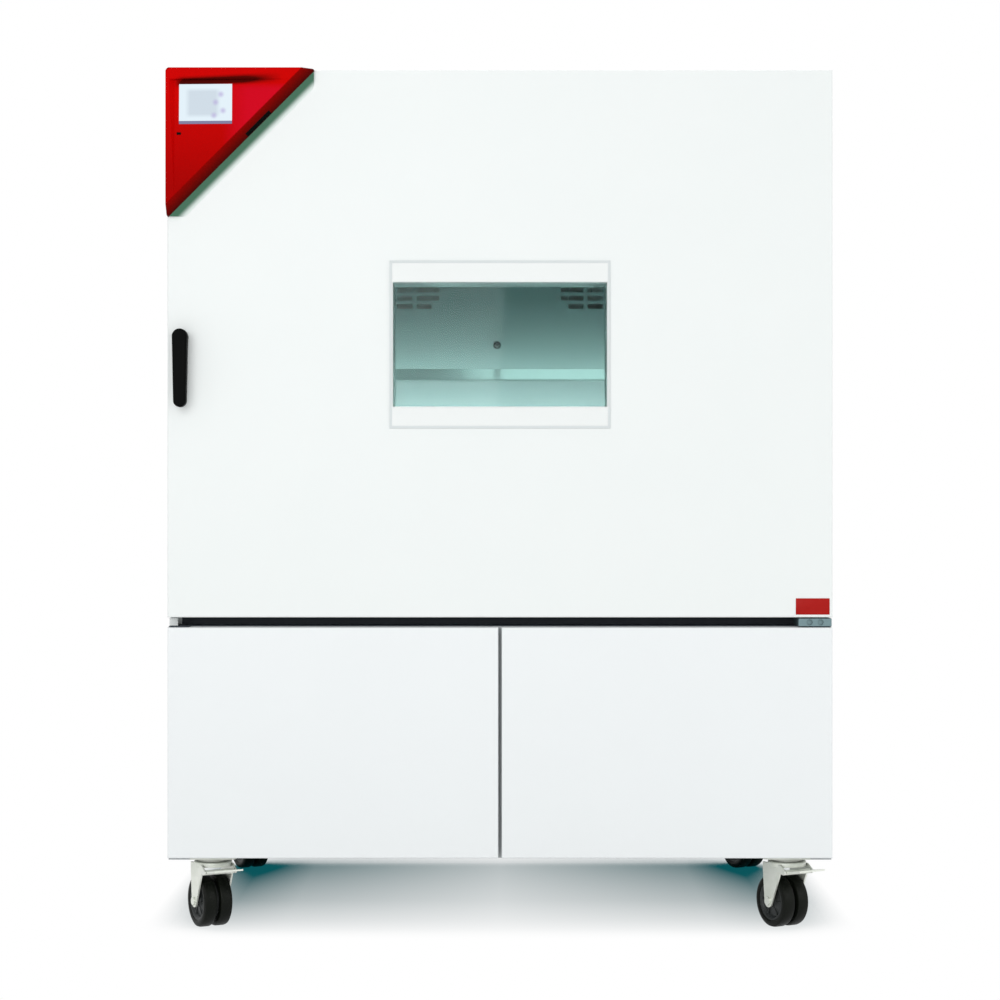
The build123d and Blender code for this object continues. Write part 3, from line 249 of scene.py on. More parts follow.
@dataclass(frozen=True)
class BrushedSteel(Finish):
    """Stainless sheet ground with a belt: fine streaks one way.

    Between step_low and step_high the sheet is smoother. Above them, painted shade darkens it towards the
    top. Below them, a darker colour is painted on as shade.
    """

    name: str
    colour: str
    shade: str
    along: Axis = Axis.X
    roughness: float = 0.34
    streak_mm: float = 1.4
    run_mm: float = 160.0
    depth: float = 0.10
    edge_mm: float = 0.8
    metallic: float = 1.0
    cloud_mm: float = 180.0
    step_low: float = 0.0
    step_high: float = 0.0
    step_roughness: float = 0.30
    # Height and colour of the painted shade above the step, and the darker colour painted as shade below it.
    top_shade_height: float = 1.56
    top_shade: str = "8C9E9F"
    below: str = "C8C6C8"

    def paint(self, tree: Tree, place: Socket) -> None:
        """Draws the finish."""
        scale = [per_mm(self.streak_mm)] * 3
        scale[self.along.value] = per_mm(self.run_mm)
        drawn = add(tree, "Mapping", {"Vector": place, "Scale": scale})
        streak = add(tree, "TexNoise", {"Vector": drawn.outputs["Vector"], "Scale": 1.0, "Detail": 4.0,
                                        "Roughness": 0.6}).outputs["Fac"]
        blend = calc(tree, "MULTIPLY", streak, noise(tree, place, self.cloud_mm, 3.0))
        tone = mix(tree, blend, linear(self.colour), linear(self.shade))
        gloss = ramp(tree, streak, 0.0, 1.0, self.roughness - 0.08, self.roughness + 0.12)
        if self.step_high > self.step_low:
            height = add(tree, "SeparateXYZ", {"Vector": place}).outputs["Z"]
            reach = (self.step_high - self.step_low) / 2
            bright = calc(tree, "COMPARE", height, self.step_low + reach, reach)
            gloss = add(tree, "Mix", {0: bright, 2: gloss, 3: self.step_roughness},
                        data_type="FLOAT").outputs[0]
            # Painted shade: darker towards the top above the step, and a darker colour below it.
            rise = ramp(tree, height, self.step_high, self.top_shade_height)
            tone = mix(tree, rise, tone, linear(self.top_shade))
            tone = mix(tree, calc(tree, "LESS_THAN", height, self.step_low), tone, linear(self.below))
        close_surface(tree, {
            "Base Color": tone, "Metallic": self.metallic, "Roughness": gloss,
            "Normal": relief(tree, streak, self.depth, 0.2, self.edge_mm)})


@dataclass(frozen=True)
class PlatedMetal(Finish):
    """Plated, drawn or cast metal: cloudy tone, small pits and painted shade in the hollows."""

    name: str
    colour: str
    shade: str
    roughness: float = 0.30
    cloud_mm: float = 22.0
    pit_mm: float = 1.5
    depth: float = 0.12
    edge_mm: float = 0.8
    metallic: float = 1.0
    hollow_mm: float = 20.0
    # Strength of the painted shade in the hollows.
    occlusion_shade: float = 0.45

    def paint(self, tree: Tree, place: Socket) -> None:
        """Draws the finish."""
        cloud = noise(tree, place, self.cloud_mm, 4.0)
        # Painted shade: the colour darkens where ambient occlusion finds hollows and gaps between parts.
        hollow = add(tree, "AmbientOcclusion", {"Distance": self.hollow_mm * MM}, samples=6)
        tone = mix(tree, cloud, linear(self.colour), linear(self.shade))
        occlusion_shade = ramp(tree, hollow.outputs["AO"], 0.15, 0.7, self.occlusion_shade)
        occlusion_shaded = add(tree, "Mix", {"Factor": 1.0, "A": tone, "B": occlusion_shade}, data_type="RGBA",
                     blend_type="MULTIPLY")
        pits = noise(tree, place, self.pit_mm, 3.0)
        gloss = ramp(tree, cloud, 0.0, 1.0, self.roughness - 0.08, self.roughness + 0.12)
        close_surface(tree, {
            "Base Color": occlusion_shaded.outputs["Result"], "Metallic": self.metallic, "Roughness": gloss,
            "Normal": relief(tree, pits, self.depth, 0.3, self.edge_mm)})


@dataclass(frozen=True)
class Moulded(Finish):
    """Moulded plastic or rubber: one colour with a fine spark-eroded grain."""

    name: str
    colour: str
    shade: str
    roughness: float = 0.5
    shine: float = 0.25
    grain_mm: float = 1.2
    depth: float = 0.15
    edge_mm: float = 0.8
    cloud_mm: float = 45.0

    def paint(self, tree: Tree, place: Socket) -> None:
        """Draws the finish."""
        cloud = noise(tree, place, self.cloud_mm, 4.0)
        tone = mix(tree, cloud, linear(self.colour), linear(self.shade))
        gloss = ramp(tree, cloud, 0.0, 1.0, self.roughness - 0.06, self.roughness + 0.08)
        grain = cells(tree, place, self.grain_mm)
        close_surface(tree, {
            "Base Color": tone, "Roughness": gloss, "Specular IOR Level": self.shine,
            "Normal": relief(tree, grain, self.depth, 0.2, self.edge_mm)})


@dataclass(frozen=True)
class FloatGlass(Finish):
    """Clear float glass: light goes straight through with a green cast, and the surface mirrors a little."""

    name: str
    tint: str
    mirror: float = 0.12
    index: float = 1.45
    smear_mm: float = 120.0

    def paint(self, tree: Tree, place: Socket) -> None:
        """Draws the finish."""
        gloss = ramp(tree, noise(tree, place, self.smear_mm, 3.0), 0.0, 1.0, 0.01, 0.05)
        clear = add(tree, "BsdfTransparent", {"Color": linear(self.tint)})
        mirror = add(tree, "BsdfGlossy", {"Color": (1, 1, 1, 1), "Roughness": gloss})
        edge = add(tree, "Fresnel", {"IOR": self.index})
        share = calc(tree, "MULTIPLY", edge.outputs["Fac"], self.mirror)
        close_material(tree, add(tree, "MixShader", {0: share, 1: clear.outputs["BSDF"],
                                                     2: mirror.outputs["BSDF"]}))


@dataclass(frozen=True)
class FoamBoard(Finish):
    """Cut insulation board: open grain, warm tone and no shine."""

    name: str
    colour: str
    shade: str
    grain_mm: float = 4.0

    def paint(self, tree: Tree, place: Socket) -> None:
        """Draws the finish."""
        grain = noise(tree, place, self.grain_mm, 6.0)
        close_surface(tree, {
            "Base Color": mix(tree, grain, linear(self.colour), linear(self.shade)), "Roughness": 0.95,
            "Specular IOR Level": 0.1,
            "Normal": relief(tree, cells(tree, place, self.grain_mm * 2), 0.5, 1.5)})


def from_corner(tree: Tree, place: Socket, corner: Vector) -> tuple[Socket, Socket]:
    """Sockets of how far a place lies right of and below a corner of the door."""
    parts = add(tree, "SeparateXYZ", {"Vector": place})
    right = calc(tree, "SUBTRACT", parts.outputs["X"], corner.x)
    down = calc(tree, "SUBTRACT", corner.z, parts.outputs["Z"])
    return right, down


@dataclass(frozen=True)
class ControllerLacquer(Finish):
    """Red lacquer of the controller: a bright face with painted shade towards its foot and a painted
    highlight on its right, painted shade in the hollow under the top band, and a slope painted deep red as
    shade.

    Lengths are metres right of or below the housing's corner.
    """

    name: str
    face: str
    # After the face colour come a painted highlight for its right, painted shade for its foot and for the
    # hollow, and painted shade for the slope and the slope's foot.
    right_highlight: str
    lower_shade: str
    hollow: str
    bevel: str
    bevel_foot_shade: str
    corner: Vector
    leg: float
    inner_leg: float
    lower_start: float = 0.07
    lower_share: float = 0.8
    right_shares: tuple[float, float] = (0.38, 0.55)
    hollow_top: float = 0.020
    hollow_deep: float = 0.036
    hollow_foot: float = 0.050
    hollow_rise: float = 0.045
    hollow_ends: tuple[float, float, float, float] = (0.020, 0.040, 0.185, 0.275)
    hollow_gain: float = 1.5
    crease_mm: float = 1.5
    cloud_mm: float = 30.0

    def paint(self, tree: Tree, place: Socket) -> None:
        """Draws the finish."""
        right, down = from_corner(tree, place, self.corner)
        both = calc(tree, "ADD", down, right)
        tone = self._hollowed(tree, down, right, self._face(tree, down, right))
        slope = ramp(tree, both, self.inner_leg, self.leg)
        # Painted shade on the slope, darker towards its foot.
        slope_shade = mix(tree, slope, linear(self.bevel), linear(self.bevel_foot_shade))
        crease = self.crease_mm * MM
        on_bevel = ramp(tree, both, self.inner_leg - crease, self.inner_leg + crease)
        coloured = mix(tree, on_bevel, tone, slope_shade)
        gloss = ramp(tree, noise(tree, place, self.cloud_mm, 2.0), 0.0, 1.0, 0.34, 0.42)
        edge = add(tree, "Bevel", {"Radius": crease}, samples=6)
        close_surface(tree, {"Base Color": coloured, "Roughness": gloss, "Specular IOR Level": 0.01,
                             "Normal": edge.outputs["Normal"]})

    def _face(self, tree: Tree, down: Socket, right: Socket) -> Socket:
        """Colour of the face: painted shade makes it darker towards its foot, and a painted highlight makes
        it brighter and cooler on its right.
        """
        # Painted shade towards the face's foot.
        fall = ramp(tree, down, self.lower_start, self.leg * self.lower_share)
        tone = mix(tree, fall, linear(self.face), linear(self.lower_shade))
        # Painted highlight on the face's right, below the hollow.
        start, end = (self.leg * share for share in self.right_shares)
        spread = ramp(tree, right, start, end)
        under = ramp(tree, down, self.hollow_deep, self.hollow_foot)
        highlight_share = calc(tree, "MULTIPLY", spread, under)
        return mix(tree, highlight_share, tone, linear(self.right_highlight))

    def _hollowed(self, tree: Tree, down: Socket, right: Socket, tone: Socket) -> Socket:
        """Painted shade in the hollow under the top band, fading at both its ends."""
        start, full, fade, end = self.hollow_ends
        slanted = calc(tree, "MULTIPLY_ADD", right, self.hollow_rise, down)
        enter = ramp(tree, slanted, self.hollow_top, self.hollow_deep, smooth=True)
        leave = ramp(tree, slanted, self.hollow_deep, self.hollow_foot, 1.0, 0.0, smooth=True)
        left_end = ramp(tree, right, start, full)
        right_end = ramp(tree, right, fade, end, 1.0, 0.0)
        across = calc(tree, "MULTIPLY", enter, leave)
        along = calc(tree, "MULTIPLY", left_end, right_end)
        shade = calc(tree, "MULTIPLY", calc(tree, "MULTIPLY", across, along), self.hollow_gain, clamp=True)
        return mix(tree, shade, tone, linear(self.hollow))


@dataclass(frozen=True)
class RearShell(Finish):
    """Dark green-grey moulding behind the controller. Its dark colour also stands in for the controller's
    shadow on the door, and it fades paler towards its thin lip as a painted soft shadow edge.
    """

    name: str
    body: str
    lip: str
    corner: Vector
    lip_start: float
    lip_end: float
    grain_mm: float = 1.2

    def paint(self, tree: Tree, place: Socket) -> None:
        """Draws the finish."""
        right, down = from_corner(tree, place, self.corner)
        # Painted shadow edge: the colour fades from the dark shell to nearly the door's white along the long
        # edge.
        fade = ramp(tree, calc(tree, "ADD", down, right), self.lip_start, self.lip_end, smooth=True)
        close_surface(tree, {
            "Base Color": mix(tree, fade, linear(self.body), linear(self.lip)), "Roughness": 0.5,
            "Specular IOR Level": 0.1, "Normal": relief(tree, cells(tree, place, self.grain_mm), 0.1, 0.2)})


@dataclass(frozen=True)
class LitScreen(Finish):
    """Colour display behind a matt touch film: grey panel in a paler rim, soft keys and a dark foot.

    Places are shares of the screen's width and height from its lower left corner.
    """

    name: str
    rim: str
    panel: str
    key: str
    bar: str
    low: Vector
    high: Vector
    panel_low: tuple[float, float] = (0.16, 0.20)
    panel_high: tuple[float, float] = (0.74, 0.86)
    keys: tuple[tuple[float, float], ...] = ((0.79, 0.74), (0.69, 0.54), (0.83, 0.33), (0.66, 0.21))
    key_reach: float = 0.085
    key_strength: float = 0.75
    bar_share: float = 0.075
    softness: float = 0.05
    glow: float = 0.96

    def paint(self, tree: Tree, place: Socket) -> None:
        """Draws the finish."""
        parts = add(tree, "SeparateXYZ", {"Vector": place})
        across = ramp(tree, parts.outputs["X"], self.low.x, self.high.x)
        up = ramp(tree, parts.outputs["Z"], self.low.z, self.high.z)
        shown = mix(tree, self._inside(tree, across, up), linear(self.rim), linear(self.panel))
        aspect = (self.high.z - self.low.z) / (self.high.x - self.low.x)
        height = calc(tree, "MULTIPLY", up, aspect)
        spot = add(tree, "CombineXYZ", {"X": across, "Y": height}).outputs["Vector"]
        for x, z in self.keys:
            away = add(tree, "VectorMath", {0: spot, 1: (x, z * aspect, 0.0)}, operation="DISTANCE")
            weight = ramp(tree, away.outputs["Value"], self.key_reach, 0.0, 0.0, self.key_strength,
                          smooth=True)
            shown = mix(tree, weight, shown, linear(self.key))
        shown = mix(tree, calc(tree, "LESS_THAN", up, self.bar_share), shown, linear(self.bar))
        close_surface(tree, {
            "Base Color": (0.02, 0.02, 0.025, 1), "Roughness": 0.4, "Specular IOR Level": 0.1,
            "Emission Color": shown, "Emission Strength": self.glow})

    def _inside(self, tree: Tree, across: Socket, up: Socket) -> Socket:
        """Share of the panel at a place, soft at its four sides."""
        soft = self.softness
        sides: list[Socket] = []
        for value, low, high in ((across, self.panel_low[0], self.panel_high[0]),
                                 (up, self.panel_low[1], self.panel_high[1])):
            sides.append(ramp(tree, value, low - soft, low + soft))
            sides.append(ramp(tree, value, high + soft, high - soft))
        inside = sides[0]
        for side in sides[1:]:
            inside = calc(tree, "MULTIPLY", inside, side)
        return inside


@dataclass(frozen=True)
class LampLens(Finish):
    """Frosted lens of a lamp that is switched on."""

    name: str
    colour: str
    strength: float
    prism_mm: float = 5.0

    def paint(self, tree: Tree, place: Socket) -> None:
        """Draws the finish."""
        colour = linear(self.colour)
        close_surface(tree, {
            "Base Color": colour, "Roughness": 0.5, "Emission Color": colour,
            "Emission Strength": self.strength,
            "Normal": relief(tree, cells(tree, place, self.prism_mm), 0.4, 1.0)})


class Finishes:
    """Every finish of the chamber, made once each."""

    def __init__(self) -> None:
        """Builds the materials that several sub-assemblies share."""
        # Polyester powder coat, sprayed and baked on steel sheet: a cool, satin white.
        self.white = PowderCoat("powder_coat_white", "F1F5F4", "EEF3F2").make()
        self.trim = PowderCoat("powder_coat_window_white", "EFF3F2", "EDF1F0").make()
        self.service = PowderCoat("powder_coat_service_white", "F1F5F6", "EFF3F4").make()
        # The same coat in grey on the welded frame and the electrical box.
        self.frame = PowderCoat("powder_coat_frame_grey", "C4C8CA", "B8BCBE", roughness=0.55).make()
        self.box = PowderCoat("powder_coat_box_grey", "B9BDBF", "AEB2B4").make()
        # Matt anthracite coat on the collar, which shows as the dark line under the closed door. That line is
        # partly real shade in the gap and partly this dark coat, painted in as the gap's shade.
        self.collar = PowderCoat("powder_coat_anthracite_gap_shade", "4A5057", "42484F", roughness=0.6,
                                 shine=0.15).make()
        # Extruded silicone in pale grey, pressed in round the window frame.
        self.line = PowderCoat("silicone_grey_seal_line", "DCE2E3", "D8DEDF", roughness=0.6).make()
        # Belt-ground stainless sheet, dull enough to spread the light inside.
        self.liner = BrushedSteel("stainless_ground_liner", "DADFDF", "BFC5C5", along=Axis.X, roughness=0.46,
                                  metallic=0.8).make()
        # The same sheet pressed into a baffle, smoother on its step, with painted shade that darkens it
        # towards its top and below the step.
        self.baffle = BrushedSteel("stainless_ground_baffle_painted_shade", "DDE2E2", "C6CCCC", along=Axis.X,
                                   roughness=0.46, metallic=0.8, step_low=1.342, step_high=1.376).make()
        # Ground stainless wire, rail and spindle.
        self.steel = BrushedSteel("stainless_ground_parts", "C4C9C9", "A6ACAC", along=Axis.Z, roughness=0.28,
                                  run_mm=60.0).make()
        # Bright zinc on screws, pale passivated zinc on pressed forks, blue passivated zinc on hinges.
        self.zinc = PlatedMetal("zinc_bright_plated", "E6E4DA", "C9C8BE", roughness=0.26).make()
        self.fork = PlatedMetal("zinc_passivated_fork", "F4F6EF", "E2E8DC", roughness=0.34,
                                metallic=0.35).make()
        self.hinge = PlatedMetal("zinc_blue_passivated_hinge", "7C9498", "688085", roughness=0.4,
                                 metallic=0.6).make()
        # Rolled aluminium fins and fan wheels, drawn copper tube and turned brass fittings.
        self.alloy = PlatedMetal("aluminium_rolled_fins", "D2D5D7", "B4B8BA", roughness=0.36).make()
        self.copper = PlatedMetal("copper_drawn_tube", "C98460", "A9674A", roughness=0.33).make()
        self.brass = PlatedMetal("brass_turned", "C9A560", "A98748", roughness=0.28).make()
        # Black enamel, dipped and baked on the compressor, the fan motors and the probe.
        self.black_shell = Moulded("enamel_black_shell", "17181A", "101113", roughness=0.32, shine=0.5,
                                   depth=0.04).make()
        # Injection-moulded plastics with a fine spark-eroded grain.
        self.black = Moulded("polyamide_black_moulded", "070808", "0A0B0B", roughness=0.46,
                             shine=0.03).make()
        self.grey_plastic = Moulded("polypropylene_grey_moulded", "C9CCCB", "BEC2C1").make()
        self.red_plastic = Moulded("abs_red_moulded", "B3120E", "9E0F0C", roughness=0.4).make()
        self.hub = Moulded("polyamide_grey_hub", "3A3D3D", "2E3131", roughness=0.45).make()
        # Blow-moulded tank and boiler, left in the plastic's own pale colour.
        self.pale_plastic = Moulded("polyethylene_natural_blown", "E4E6E2", "D6D9D4", roughness=0.42).make()
        # Moulded silicone and rubber.
        self.seal = Moulded("silicone_black_seal", "1B1C1D", "141516", roughness=0.6, shine=0.2).make()
        self.silicone = Moulded("silicone_natural_plug", "D9D3C4", "CCC5B5", roughness=0.55).make()
        self.tyre = Moulded("rubber_moulded_tyre", "0B0E0A", "0F130D", roughness=0.42, shine=0.12,
                            grain_mm=2.0).make()
        # Insulation board, cut to fill the walls and the door.
        self.foam = FoamBoard("insulation_cut_board", "E3D6AE", "CFC093").make()
        # Float glass in four panes with eight faces in all, so each face takes a little of the green cast.
        self.glass = FloatGlass("float_glass_clear", "F5FCFB").make()
        # Frosted polycarbonate over the lamps in the chamber's roof.
        self.lamp = LampLens("polycarbonate_frosted_lens", "F4FAFF", 1.5).make()
        # Red lacquer, printed over the whole of a thin aluminium plate.
        self.bare_red = Moulded("aluminium_plate_red_lacquer", "B42826", "A0140F", roughness=0.4,
                                shine=0.05).make()


def dress(material: Material, *nodes: str) -> None:
    """Gives CAD nodes one material.

    Args:
        material: Finish of the nodes.
        nodes: Names of the nodes.
    """
    for name in nodes:
        mesh = frame["nodes"][name].data
        mesh.materials.clear()
        mesh.materials.append(material)
    log.info("dressed %d nodes in %s", len(nodes), material.name)


def close_piece(bm: BMesh, name: str, body: str, materials: list[Material],
                stands_for: tuple[str, ...] = (), smooth: float = 35.0) -> bpy.types.Object:
    """Turns a bmesh into a piece of the object.

    Args:
        bm: Finished geometry in the chamber's frame.
        name: Name of the piece.
        body: CAD body it rides on.
        materials: Finishes by material index.
        stands_for: CAD nodes it replaces.
        smooth: Angle in degrees under which faces shade smoothly.

    Returns:
        The new object.
    """
    bmesh.ops.recalc_face_normals(bm, faces=bm.faces)
    mesh = bpy.data.meshes.new(name)
    for face in bm.faces:
        face.smooth = True
    for edge in bm.edges:
        edge.smooth = not (len(edge.link_faces) == 2 and edge.calc_face_angle() > math.radians(smooth))
    bm.to_mesh(mesh)
    bm.free()
    for material in materials:
        mesh.materials.append(material)
    piece = bpy.data.objects.new(name, mesh)
    bpy.context.scene.collection.objects.link(piece)
    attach(piece, body)
    if stands_for:
        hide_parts(*stands_for)
    log.info("made %s on %s, %d faces", name, body, len(mesh.polygons))
    return piece


def add_box(bm: BMesh, low: tuple[float, float, float], high: tuple[float, float, float],
            round_mm: float = 0.0, segments: int = 2) -> list[BMVert]:
    """Adds a box between two corners, with rounded edges.

    Args:
        bm: Geometry to add to.
        low: Lowest corner in metres.
        high: Highest corner in metres.
        round_mm: Radius of the edges.
        segments: Segments of the rounding.

    Returns:
        The box's vertices.
    """
    a, b = Vector(low), Vector(high)
    place = Matrix.Translation((a + b) / 2) @ Matrix.Diagonal((*(b - a), 1.0))
    before = set(bm.verts)
    made = bmesh.ops.create_cube(bm, size=1.0, matrix=place)["verts"]
    if round_mm:
        edges = list({edge for vert in made for edge in vert.link_edges})
        bmesh.ops.bevel(bm, geom=edges, offset=round_mm * MM, segments=segments, profile=0.5, affect="EDGES",
                        material=-1, clamp_overlap=True)
    return [vert for vert in bm.verts if vert not in before]


def add_round(bm: BMesh, profile: list[tuple[float, float]], place: Matrix, steps: int = 48,
              material: int = 0) -> list[BMVert]:
    """Turns an open profile round the local Z axis.

    Args:
        bm: Geometry to add to.
        profile: Radius and height of each point, in millimetres.
        place: Where the local frame stands.
        steps: Steps of the full turn.
        material: Material index of the new faces.

    Returns:
        The new vertices.
    """
    before = set(bm.verts)
    known = set(bm.faces)
    verts = [bm.verts.new((radius * MM, 0.0, height * MM)) for radius, height in profile]
    edges = [bm.edges.new(pair) for pair in zip(verts, verts[1:])]
    bmesh.ops.spin(bm, geom=verts + edges, cent=(0, 0, 0), axis=(0, 0, 1), angle=math.tau, steps=steps,
                   use_merge=True)
    made = [vert for vert in bm.verts if vert not in before]
    bmesh.ops.remove_doubles(bm, verts=made, dist=1e-6)
    made = [vert for vert in bm.verts if vert not in before]
    bmesh.ops.transform(bm, matrix=place, verts=made)
    for face in bm.faces:
        if face not in known:
            face.material_index = material
    return made


def facing(axis: Vector, place: Vector) -> Matrix:
    """Local frame at a place, with its Z along an axis."""
    return Matrix.Translation(place) @ axis.to_track_quat("Z", "Y").to_matrix().to_4x4()


@dataclass(frozen=True)
class Lamp:
    """Soft rectangular lamp that the camera doesn't see, in metres and watts."""

    name: str
    place: tuple[float, float, float]
    target: tuple[float, float, float]
    width: float
    height: float
    power: float

    def hang(self) -> None:
        """Adds the lamp to the scene."""
        light = bpy.data.lights.new(self.name, "AREA")
        light.shape = "RECTANGLE"
        light.size = self.width
        light.size_y = self.height
        light.energy = self.power
        holder = bpy.data.objects.new(self.name, light)
        holder.location = self.place
        aim = Vector(self.target) - Vector(self.place)
        holder.rotation_euler = aim.to_track_quat("-Z", "Y").to_euler()
        holder.visible_camera = False
        bpy.context.scene.collection.objects.link(holder)


@dataclass
class Studio:
    """Plain white studio: floor that keeps the shadow, soft lamps and the camera.

    Each shadow table gives the shadow's strength at a share of its reach, from the front to the back of the
    floor under the chamber, and from its middle to its side.
    """

    camera_place: Vector = field(default_factory=lambda: Vector((0.0, -6.042, 1.025)))
    lens_mm: float = 83.9
    sensor_mm: float = 36.0
    floor_half: float = 30.0
    ambient: float = 0.59
    shadow: str = "0B545A"
    shadow_reach: float = 0.6
    shadow_open: float = 0.82
    shadow_closed: float = 0.38
    shadow_gain: float = 1.3
    shadow_near: float = -0.6
    shadow_far: float = 0.6
    shadow_deep: tuple[tuple[float, float], ...] = ((0.0, 0.0), (0.2, 0.30), (0.44, 0.56), (0.70, 0.73),
                                                    (0.93, 0.88), (1.0, 0.95))
    shadow_side: float = 0.86
    shadow_wide: tuple[tuple[float, float], ...] = ((0.0, 0.48), (0.60, 0.75), (0.78, 1.0), (0.92, 0.8),
                                                    (1.0, 0.0))
    lamps: tuple[Lamp, ...] = (
        Lamp("lamp_main", (-1.5, -5.6, 2.4), (0.0, 0.0, 1.0), 3.2, 3.2, 98.0),
        Lamp("lamp_right", (4.2, -3.4, 2.2), (0.0, 0.0, 1.0), 2.4, 2.4, 38.0),
        Lamp("lamp_top", (0.0, 0.6, 5.0), (0.0, 0.2, 1.0), 3.0, 3.0, 55.0),
        Lamp("lamp_back", (1.5, 5.0, 3.0), (0.0, 0.0, 1.0), 3.0, 3.0, 80.0),
        Lamp("lamp_inside", (0.0, -0.36, 1.15), (0.0, 0.17, 0.87), 1.05, 0.06, 4.8),
        Lamp("lamp_step", (0.20, 0.012, 1.893), (0.20, 0.012, 1.0), 0.56, 0.10, 0.5))

    def build(self) -> None:
        """Makes the whole studio."""
        self._world()
        self._floor()
        for lamp in self.lamps:
            lamp.hang()
        self._camera()
        bpy.context.scene.view_settings.view_transform = "Standard"

    def _world(self) -> None:
        """White for the camera and for reflections, and an even glow for everything else."""
        world = bpy.data.worlds.new("studio_white")
        world.use_nodes = True
        tree = world.node_tree
        tree.nodes.clear()
        seen = self._seen(tree)
        glow = add(tree, "Background", {"Color": (1, 1, 1, 1), "Strength": self.ambient})
        white = add(tree, "Background", {"Color": (1, 1, 1, 1), "Strength": 1.0})
        mixed = add(tree, "MixShader", {0: seen, 1: glow.outputs[0], 2: white.outputs[0]})
        add(tree, "OutputWorld", {"Surface": mixed.outputs[0]})
        bpy.context.scene.world = world

    @staticmethod
    def _seen(tree: Tree) -> Socket:
        """One for what the camera sees, directly, in a reflection or through glass, and else zero."""
        path = add(tree, "LightPath")
        direct = calc(tree, "MAXIMUM", path.outputs["Is Camera Ray"], path.outputs["Is Glossy Ray"])
        return calc(tree, "MAXIMUM", direct, path.outputs["Is Transmission Ray"])

    def _floor(self) -> None:
        """Pale floor, white to the camera, with the chamber's shadow painted in. The shadow's strength comes
        from the open sky each point sees and from the shadow tables.
        """
        material, tree, place = start_material("floor_pale")
        open_sky = add(tree, "AmbientOcclusion", {"Distance": self.shadow_reach}, samples=24)
        share = ramp(tree, open_sky.outputs["AO"], self.shadow_open, self.shadow_closed, smooth=True)
        parts = add(tree, "SeparateXYZ", {"Vector": place})
        aside = calc(tree, "ABSOLUTE", parts.outputs["X"])
        for value, start, end, steps in (
                (parts.outputs["Y"], self.shadow_near, self.shadow_far, self.shadow_deep),
                (aside, 0.0, self.shadow_side, self.shadow_wide)):
            level = add(tree, "ValToRGB", {"Fac": ramp(tree, value, start, end)})
            stops = level.color_ramp.elements
            while len(stops) < len(steps):
                stops.new(0.5)
            for stop, (spot, tone) in zip(stops, steps):
                stop.position = spot
                stop.color = (tone, tone, tone, 1.0)
            share = calc(tree, "MULTIPLY", share, level.outputs["Color"])
        share = calc(tree, "MULTIPLY", share, self.shadow_gain, clamp=True)
        # Painted shadow: the floor's colour to the camera darkens by the share worked out above.
        shade = mix(tree, share, linear("FFFFFF"), linear(self.shadow))
        glow = add(tree, "Emission", {"Color": shade, "Strength": 1.0})
        body = add(tree, "BsdfDiffuse", {"Color": linear("E8E8E8")})
        close_material(tree, add(tree, "MixShader", {0: self._seen(tree), 1: body.outputs[0],
                                                     2: glow.outputs[0]}))
        bm = bmesh.new()
        bmesh.ops.create_grid(bm, x_segments=1, y_segments=1, size=self.floor_half)
        mesh = bpy.data.meshes.new("floor")
        bm.to_mesh(mesh)
        bm.free()
        mesh.materials.append(material)
        floor = bpy.data.objects.new("floor", mesh)
        bpy.context.scene.collection.objects.link(floor)

    def _camera(self) -> None:
        """Level camera in front of the door, at the photograph's height."""
        data = bpy.data.cameras.new("camera")
        data.lens = self.lens_mm
        data.sensor_width = self.sensor_mm
        camera = bpy.data.objects.new("camera", data)
        camera.location = self.camera_place
        camera.rotation_euler = (math.pi / 2, 0.0, 0.0)
        bpy.context.scene.collection.objects.link(camera)
        bpy.context.scene.camera = camera


@dataclass
class Cabinet:
    """Frame, panels, collar, insulation and the fittings on the sides and the back."""

    finishes: Finishes
    half_width: float = 0.785
    back: float = 0.547
    screw_radius: float = 5.0
    screw_height: float = 2.2
    screw_inset: float = 0.032
    side_screws: tuple[float, ...] = (0.20, 0.46, 0.72, 0.79, 1.19, 1.59, 1.99)
    edge_screws: tuple[float, ...] = (0.20, 0.72, 0.79, 1.99)
    screw_columns: tuple[float, ...] = (-0.38, 0.0, 0.38)

    def build(self) -> None:
        """Dresses the cabinet's nodes and adds its small pieces."""
        f = self.finishes
        dress(f.white, "side_panel_left", "side_panel_right", "top_panel", "rear_panel_upper",
              "rear_panel_lower")
        dress(f.frame, "base_frame")
        dress(f.fork, "caster_plates")
        # Dark coat on the collar, painted as the shade in the gap under the door.
        dress(f.collar, "front_collar")
        dress(f.foam, "cabinet_insulation", "door_insulation")
        dress(f.seal, "chamber_gasket", "door_gasket")
        dress(f.grey_plastic, "access_port")
        dress(f.silicone, "access_port_plug")
        dress(f.black, "main_switch_base", "interface_panel")
        dress(f.red_plastic, "main_switch_knob")
        dress(f.brass, "water_fittings")
        dress(f.hinge, "hinge_brackets", "latch_keeper")
        self._screws()

    def _screws(self) -> None:
        """Pan-head screws along the edges of the rear covers."""
        bm = bmesh.new()
        edge = self.half_width - self.screw_inset
        spots = [(side * edge, z) for side in (-1, 1) for z in self.side_screws]
        spots += [(x, z) for x in self.screw_columns for z in self.edge_screws]
        r, h = self.screw_radius, self.screw_height
        profile = [(0.0, h * 0.55), (1.6, h * 0.55), (1.9, h), (r * 0.7, h * 0.92), (r * 0.95, h * 0.5),
                   (r, 0.0)]
        for x, z in spots:
            add_round(bm, profile, facing(Vector((0, 1, 0)), Vector((x, self.back, z))), steps=16)
        close_piece(bm, "rear_cover_screws", "cabinet", [self.finishes.zinc])


